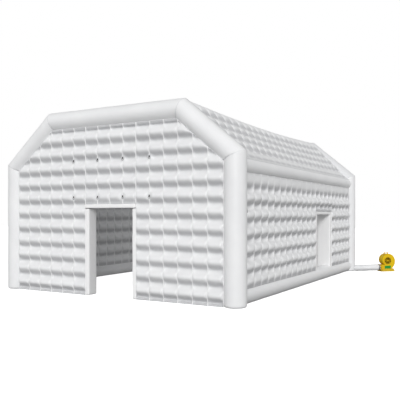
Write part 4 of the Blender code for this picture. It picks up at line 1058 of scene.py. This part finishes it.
sewn("deflation_zip_tape", "deflation_zip", patches, {}, tape_cloth.finished())
zinc = Finish("satin zinc", Metallic=1.0)
drawn_out = zinc.node("Mapping", values={0: zinc.place(), 3: (1, 1, 0.08)})
zinc_grain = zinc.node("TexNoise", values={"Vector": drawn_out, "Scale": 4000.0})
zinc.tones = zinc.blend(zinc.cloudy(0.004).step(0.4, 0.8), (0.56, 0.57, 0.59), (0.42, 0.43, 0.45))
zinc.gloss = 0.28 + zinc_grain * 0.2
zinc.layers = [(zinc_grain, 0.0001, 0.3)]
dressed("zip_slider", zinc.finished())


# The inflation sleeve: a duct of thin coated fabric from the foot of the rear right post to the
# blower's spigot. Air holds it round, it is puckered where the strap grips it, and it touches the ground.
blower_way, blower_back = level_ways(np.radians(42.5))
blower_spot = centre + np.array([3.80, 4.35, 0])
spigot_height = 0.12078
spigot_end = -0.27
sleeve_radius = 0.09
sleeve_grip = 0.052
ground_gap = 0.002
spigot_radius = 0.08
grip_radius = spigot_radius + clear


def from_blower(x, y, z):
    """A place given along the blower's outlet, towards its back and up."""
    x, y, z = (np.asarray(v, float)[..., None] for v in (x, y, z))
    return blower_spot + x * blower_way + y * blower_back + z * upright


def unit(ways):
    """Directions of length 1."""
    return ways / np.linalg.norm(ways, axis=1)[:, None]


# Its middle line leaves the post level and turns in one smooth bend into the spigot's own line.
post_foot = centre + np.array([half_width, half_length, 0])
leave_way = level_ways(np.radians(12))[0]
route_start = post_foot + (0, 0, sleeve_radius) + leave_way * (tube_radius / 2)
route_stop = from_blower(spigot_end - 0.03, 0, spigot_height)
span = np.linalg.norm(route_stop - route_start)
t = np.linspace(0, 1, 161)[:, None]
route = route_start * (2 * t**3 - 3 * t**2 + 1) + leave_way * span * (t**3 - 2 * t**2 + t)
route = route + route_stop * (3 * t**2 - 2 * t**3) + blower_way * span * (t**3 - t**2)
grip_x = np.linspace(spigot_end - 0.027, spigot_end + sleeve_grip, 28)
route = np.concatenate([route, from_blower(grip_x, 0 * grip_x, spigot_height + 0 * grip_x)])
run = unit(np.gradient(route, axis=0))
sideways = unit(np.cross(upright, run))
upwards = np.cross(run, sideways)
turn = np.linspace(0, 2 * np.pi, 97)

# Its radius wanders a little, narrows to the spigot's, and is pleated on both sides of that neck.
along = way_along(route)[:, None]
to_grip = along[160] - along
neck = np.where(to_grip >= 0, 1, (1 - np.cos(np.pi * np.clip(1 + to_grip / 0.03, 0, 1))) / 2)
body = sleeve_radius - 0.0015 + 0.0012 * np.sin(along * 21) + 0.0008 * np.sin(along * 47 + 1)
near_grip = np.exp(-np.clip(to_grip + 0.012, 0, None) / 0.05)
pleats = 0.5 + 0.5 * np.sin(17 * turn + 1.4 * np.sin(3 * turn) + along * 9)
slack = np.sin(5 * turn + along * 13) * np.sin(along * 33 + 2 * turn)
radius = grip_radius + (body - grip_radius) * neck
radius = radius - 0.0045 * pleats * near_grip * neck + 0.0012 * slack * neck * (1 - near_grip)
radius = radius + 0.0011 * pleats * (1 - neck)
spoke = np.cos(turn)[:, None] * sideways[:, None, :] + np.sin(turn)[:, None] * upwards[:, None, :]
spots = route[:, None, :] + spoke * radius[..., None]
spots[..., 2] = np.maximum(spots[..., 2], ground_gap)
outside = np.linalg.norm((spots - post_foot)[..., :2], axis=-1) > tube_radius + clear
first = np.argmax(outside, axis=0)
first_kept = int(first.min())
row = np.maximum(np.arange(first_kept, len(route))[:, None], first[None, :])
spots = np.take_along_axis(spots, row[..., None], 0)
laid = paired(along[row, 0], turn * sleeve_radius)
sleeve_cloth = coated_cloth("thin white sleeve fabric", (0.83, 0.835, 0.845), (0.78, 0.785, 0.8), 0.5, 0.0012)
sleeve_cloth.layers += [(sleeve_cloth.cloudy(0.035, 5, (1, 1, 2.2)), 0.004, 0.25)]
sleeve_cloth.tint(sleeve_cloth.cloudy(0.06, 5).step(0.55, 0.8) * 0.2, (0.6, 0.59, 0.56))
a, b, _, d = corners_of(spots)
sleeve_area = np.linalg.norm(np.cross(b - a, d - a), axis=-1).sum()
sleeve_white = sleeve_cloth.finished()
sleeve = sewn("inflation_sleeve_cloth", "inflation_sleeve", [(spots, laid)], {}, sleeve_white)
cloth_depth = sleeve.modifiers.new("cloth thickness", "SOLIDIFY")
cloth_depth.thickness = 0.0010
cloth_depth.offset = -1


# The strap that holds the sleeve on the spigot: a band of black webbing pulled tight round it, through a
# moulded buckle on its front, where the strap's end is folded back.
strap_low, strap_high = 0.0836, 0.0866
strap_middle = spigot_end + sleeve_grip / 2
strap_half = 0.013
buckle_half = 0.015
buckle_out = strap_high + 0.006
rod_deep, rod_wide = 0.0028, 0.0022


def round_spigot(radius, turn, x):
    """A place at a radius and a turn round the spigot's middle line."""
    return from_blower(x, -radius * np.cos(turn), spigot_height + radius * np.sin(turn))


def rod(start, stop, over):
    """A moulded rod of the buckle, oblong with soft edges, given by turns round the spigot and places along it.

    over is 1 where the rod runs round the spigot and is wide along it, and 0 where it lies along it.
    """
    share = np.array([0, 0, 0.04, 0.12, 0.3, 0.5, 0.7, 0.88, 0.96, 1, 1])[:, None]
    scale = np.array([0, 0.8, 0.96, 1, 1, 1, 1, 1, 0.96, 0.8, 0])[:, None]
    spot = np.array(start) * (1 - share) + np.array(stop) * share
    wide, deep = oblong(section, 0.5, 0.5)
    wide, deep = scale * wide * rod_wide, scale * deep * rod_deep
    turned = spot[:, :1] + (0 if over else wide / strap_high)
    return round_spigot(*np.broadcast_arrays(buckle_out - rod_deep + deep, turned, spot[:, 1:] + (wide if over else 0)))


strap_x, strap_y = oblong(section, 0.35, 0.6)
turn = np.linspace(0, 2 * np.pi, 145)[:, None]
band_over = strap_x * strap_half * (1 - 0.02 * (1 + np.sin(turn * 7)) / 2)
band_radius = (strap_low + strap_high) / 2 + strap_y * (strap_high - strap_low) / 2
band = round_spigot(np.broadcast_to(band_radius, (145, 17)), turn, strap_middle + band_over)
tongue_turn = np.linspace(-0.62, 0.2, 30)[:, None]
tongue_rise = 0.0002 + 0.0021 * np.exp(-((tongue_turn / 0.1) ** 2))
tongue_scale = np.concatenate([[0], np.ones(28), [0]])[:, None]
tongue_over = strap_x * (strap_half - 0.002) * tongue_scale
tongue_radius = strap_high + 0.0014 + tongue_rise + tongue_scale * strap_y * 0.0012
tongue = round_spigot(tongue_radius, tongue_turn, strap_middle + tongue_over)
tall = buckle_half / strap_high
edge = buckle_half - rod_wide
buckle = []
for up in (tall * 0.86, 0, -tall * 0.86):
    half = buckle_half if up else edge
    buckle.append(rod((up, strap_middle - half), (up, strap_middle + half), 0))
for x in (strap_middle - edge, strap_middle + edge):
    buckle.append(rod((-tall * 0.9, x), (tall * 0.9, x), 1))
parts = [(band, paired(turn * strap_high, band_over))]
parts += [(spots, np.zeros(spots.shape[:2] + (2,))) for spots in buckle]
parts += [(tongue, paired(tongue_turn * strap_high, tongue_over))]
hard = [np.full(spots.shape[:2], float(0 < k <= len(buckle))) for k, (spots, _) in enumerate(parts)]
for k, (spots, laid) in enumerate(parts):
    a, b, c, d = corners_of(spots)
    if swept(a, b, c) + swept(a, c, d) <= 0:
        parts[k] = (spots[:, ::-1], laid[:, ::-1])
strap_cloth = webbing("black strap webbing and buckle", 0.004, Specular_IOR_Level=0.35)
moulded = strap_cloth.mark("hard")
strap_cloth.tint(moulded, (0.022, 0.022, 0.024))
strap_cloth.gloss = 0.75 - moulded * 0.35 + strap_cloth.fuzz * 0.15
strap_cloth.layers = [(strap_cloth.ribs * (1 - moulded), 0.0004, 0.8), (strap_cloth.fuzz, 0.0002, 0.3)]
sewn("sleeve_strap_band", "sleeve_strap", parts, {"hard": hard}, strap_cloth.finished())


# The blower: a scroll housing and a foot of moulded yellow plastic, with a guard over the intake, a
# pressed impeller, a painted motor with a red switch, and a plain green plate on its face.
def moulded_plastic(name, tone, worn, dust, roughness, grain):
    """Moulded plastic: a fine spark-eroded grain, faint flow marks, scuffs and dust low down."""
    made = Finish(name, Specular_IOR_Level=0.22)
    height = made.node("SeparateXYZ", values={0: made.place()}, output=2)
    texture = made.cloudy(grain, 2)
    flow = made.cloudy(0.12, 3, (1, 1, 0.3))
    scuffs = made.cloudy(0.03, 6, (1, 1, 6), 0.7).step(0.62, 0.72)
    low = (1 - height.step(0.0, 0.11)) * made.cloudy(0.02, 5).step(0.35, 0.7)
    made.tones = made.blend(flow.step(0.3, 0.7) * 0.6, tone, worn)
    made.tint(scuffs * 0.3, worn)
    made.tint(low * 0.55, dust)
    made.gloss = roughness + texture * 0.08 + scuffs * 0.2 + low * 0.2
    made.layers = [(texture, 0.00015, 0.5), (flow, 0.0015, 0.15), (scuffs, 0.0001, 0.3)]
    return made.finished()


for node, name, tone, worn, dust, roughness, grain in (
    ("blower_housing", "yellow housing", (0.76, 0.53, 0.002), (0.72, 0.42, 0.003), (0.4, 0.33, 0.16), 0.36, 0.0009),
    ("blower_foot", "yellow foot", (0.74, 0.50, 0.003), (0.62, 0.39, 0.004), (0.38, 0.31, 0.16), 0.38, 0.0009),
    ("intake_guard", "yellow guard", (0.72, 0.48, 0.003), (0.6, 0.36, 0.004), (0.4, 0.33, 0.16), 0.4, 0.0009),
    ("impeller", "amber impeller", (0.42, 0.25, 0.004), (0.30, 0.18, 0.005), (0.3, 0.25, 0.14), 0.5, 0.0009),
    ("switch_rocker", "red rocker", (0.55, 0.02, 0.012), (0.4, 0.015, 0.01), (0.3, 0.1, 0.08), 0.28, 0.0004),
):
    dressed(node, moulded_plastic(f"{name} plastic", tone, worn, dust, roughness, grain))
paint = Finish("black motor paint", Specular_IOR_Level=0.5, Coat_Roughness=0.3)
orange_peel = paint.cloudy(0.0014, 2)
chips = paint.cloudy(0.012, 6, rough=0.7).step(0.68, 0.71)
paint.tones = paint.blend(chips, (0.02, 0.02, 0.022), (0.18, 0.17, 0.16))
paint.gloss = 0.36 + orange_peel * 0.1 + chips * 0.15
paint.layers = [(orange_peel, 0.0002, 0.5), (1 - chips, 0.0001, 0.6)]
paint.give("Metallic", chips * 0.8)
dressed("blower_motor", paint.finished())
vinyl = Finish("green plate", Specular_IOR_Level=0.5, Coat_Weight=0.3, Coat_Roughness=0.15)
bubbles = vinyl.cloudy(0.01, 4)
rubbed = vinyl.cloudy(0.02, 6, (4, 1, 1), 0.7).step(0.6, 0.75)
vinyl.tones = vinyl.blend(rubbed * 0.35 + bubbles * 0.1, (0.001, 0.27, 0.014), (0.02, 0.34, 0.05))
vinyl.gloss = 0.3 + rubbed * 0.25
vinyl.layers = [(bubbles, 0.0003, 0.3)]
dressed("face_plate", vinyl.finished())
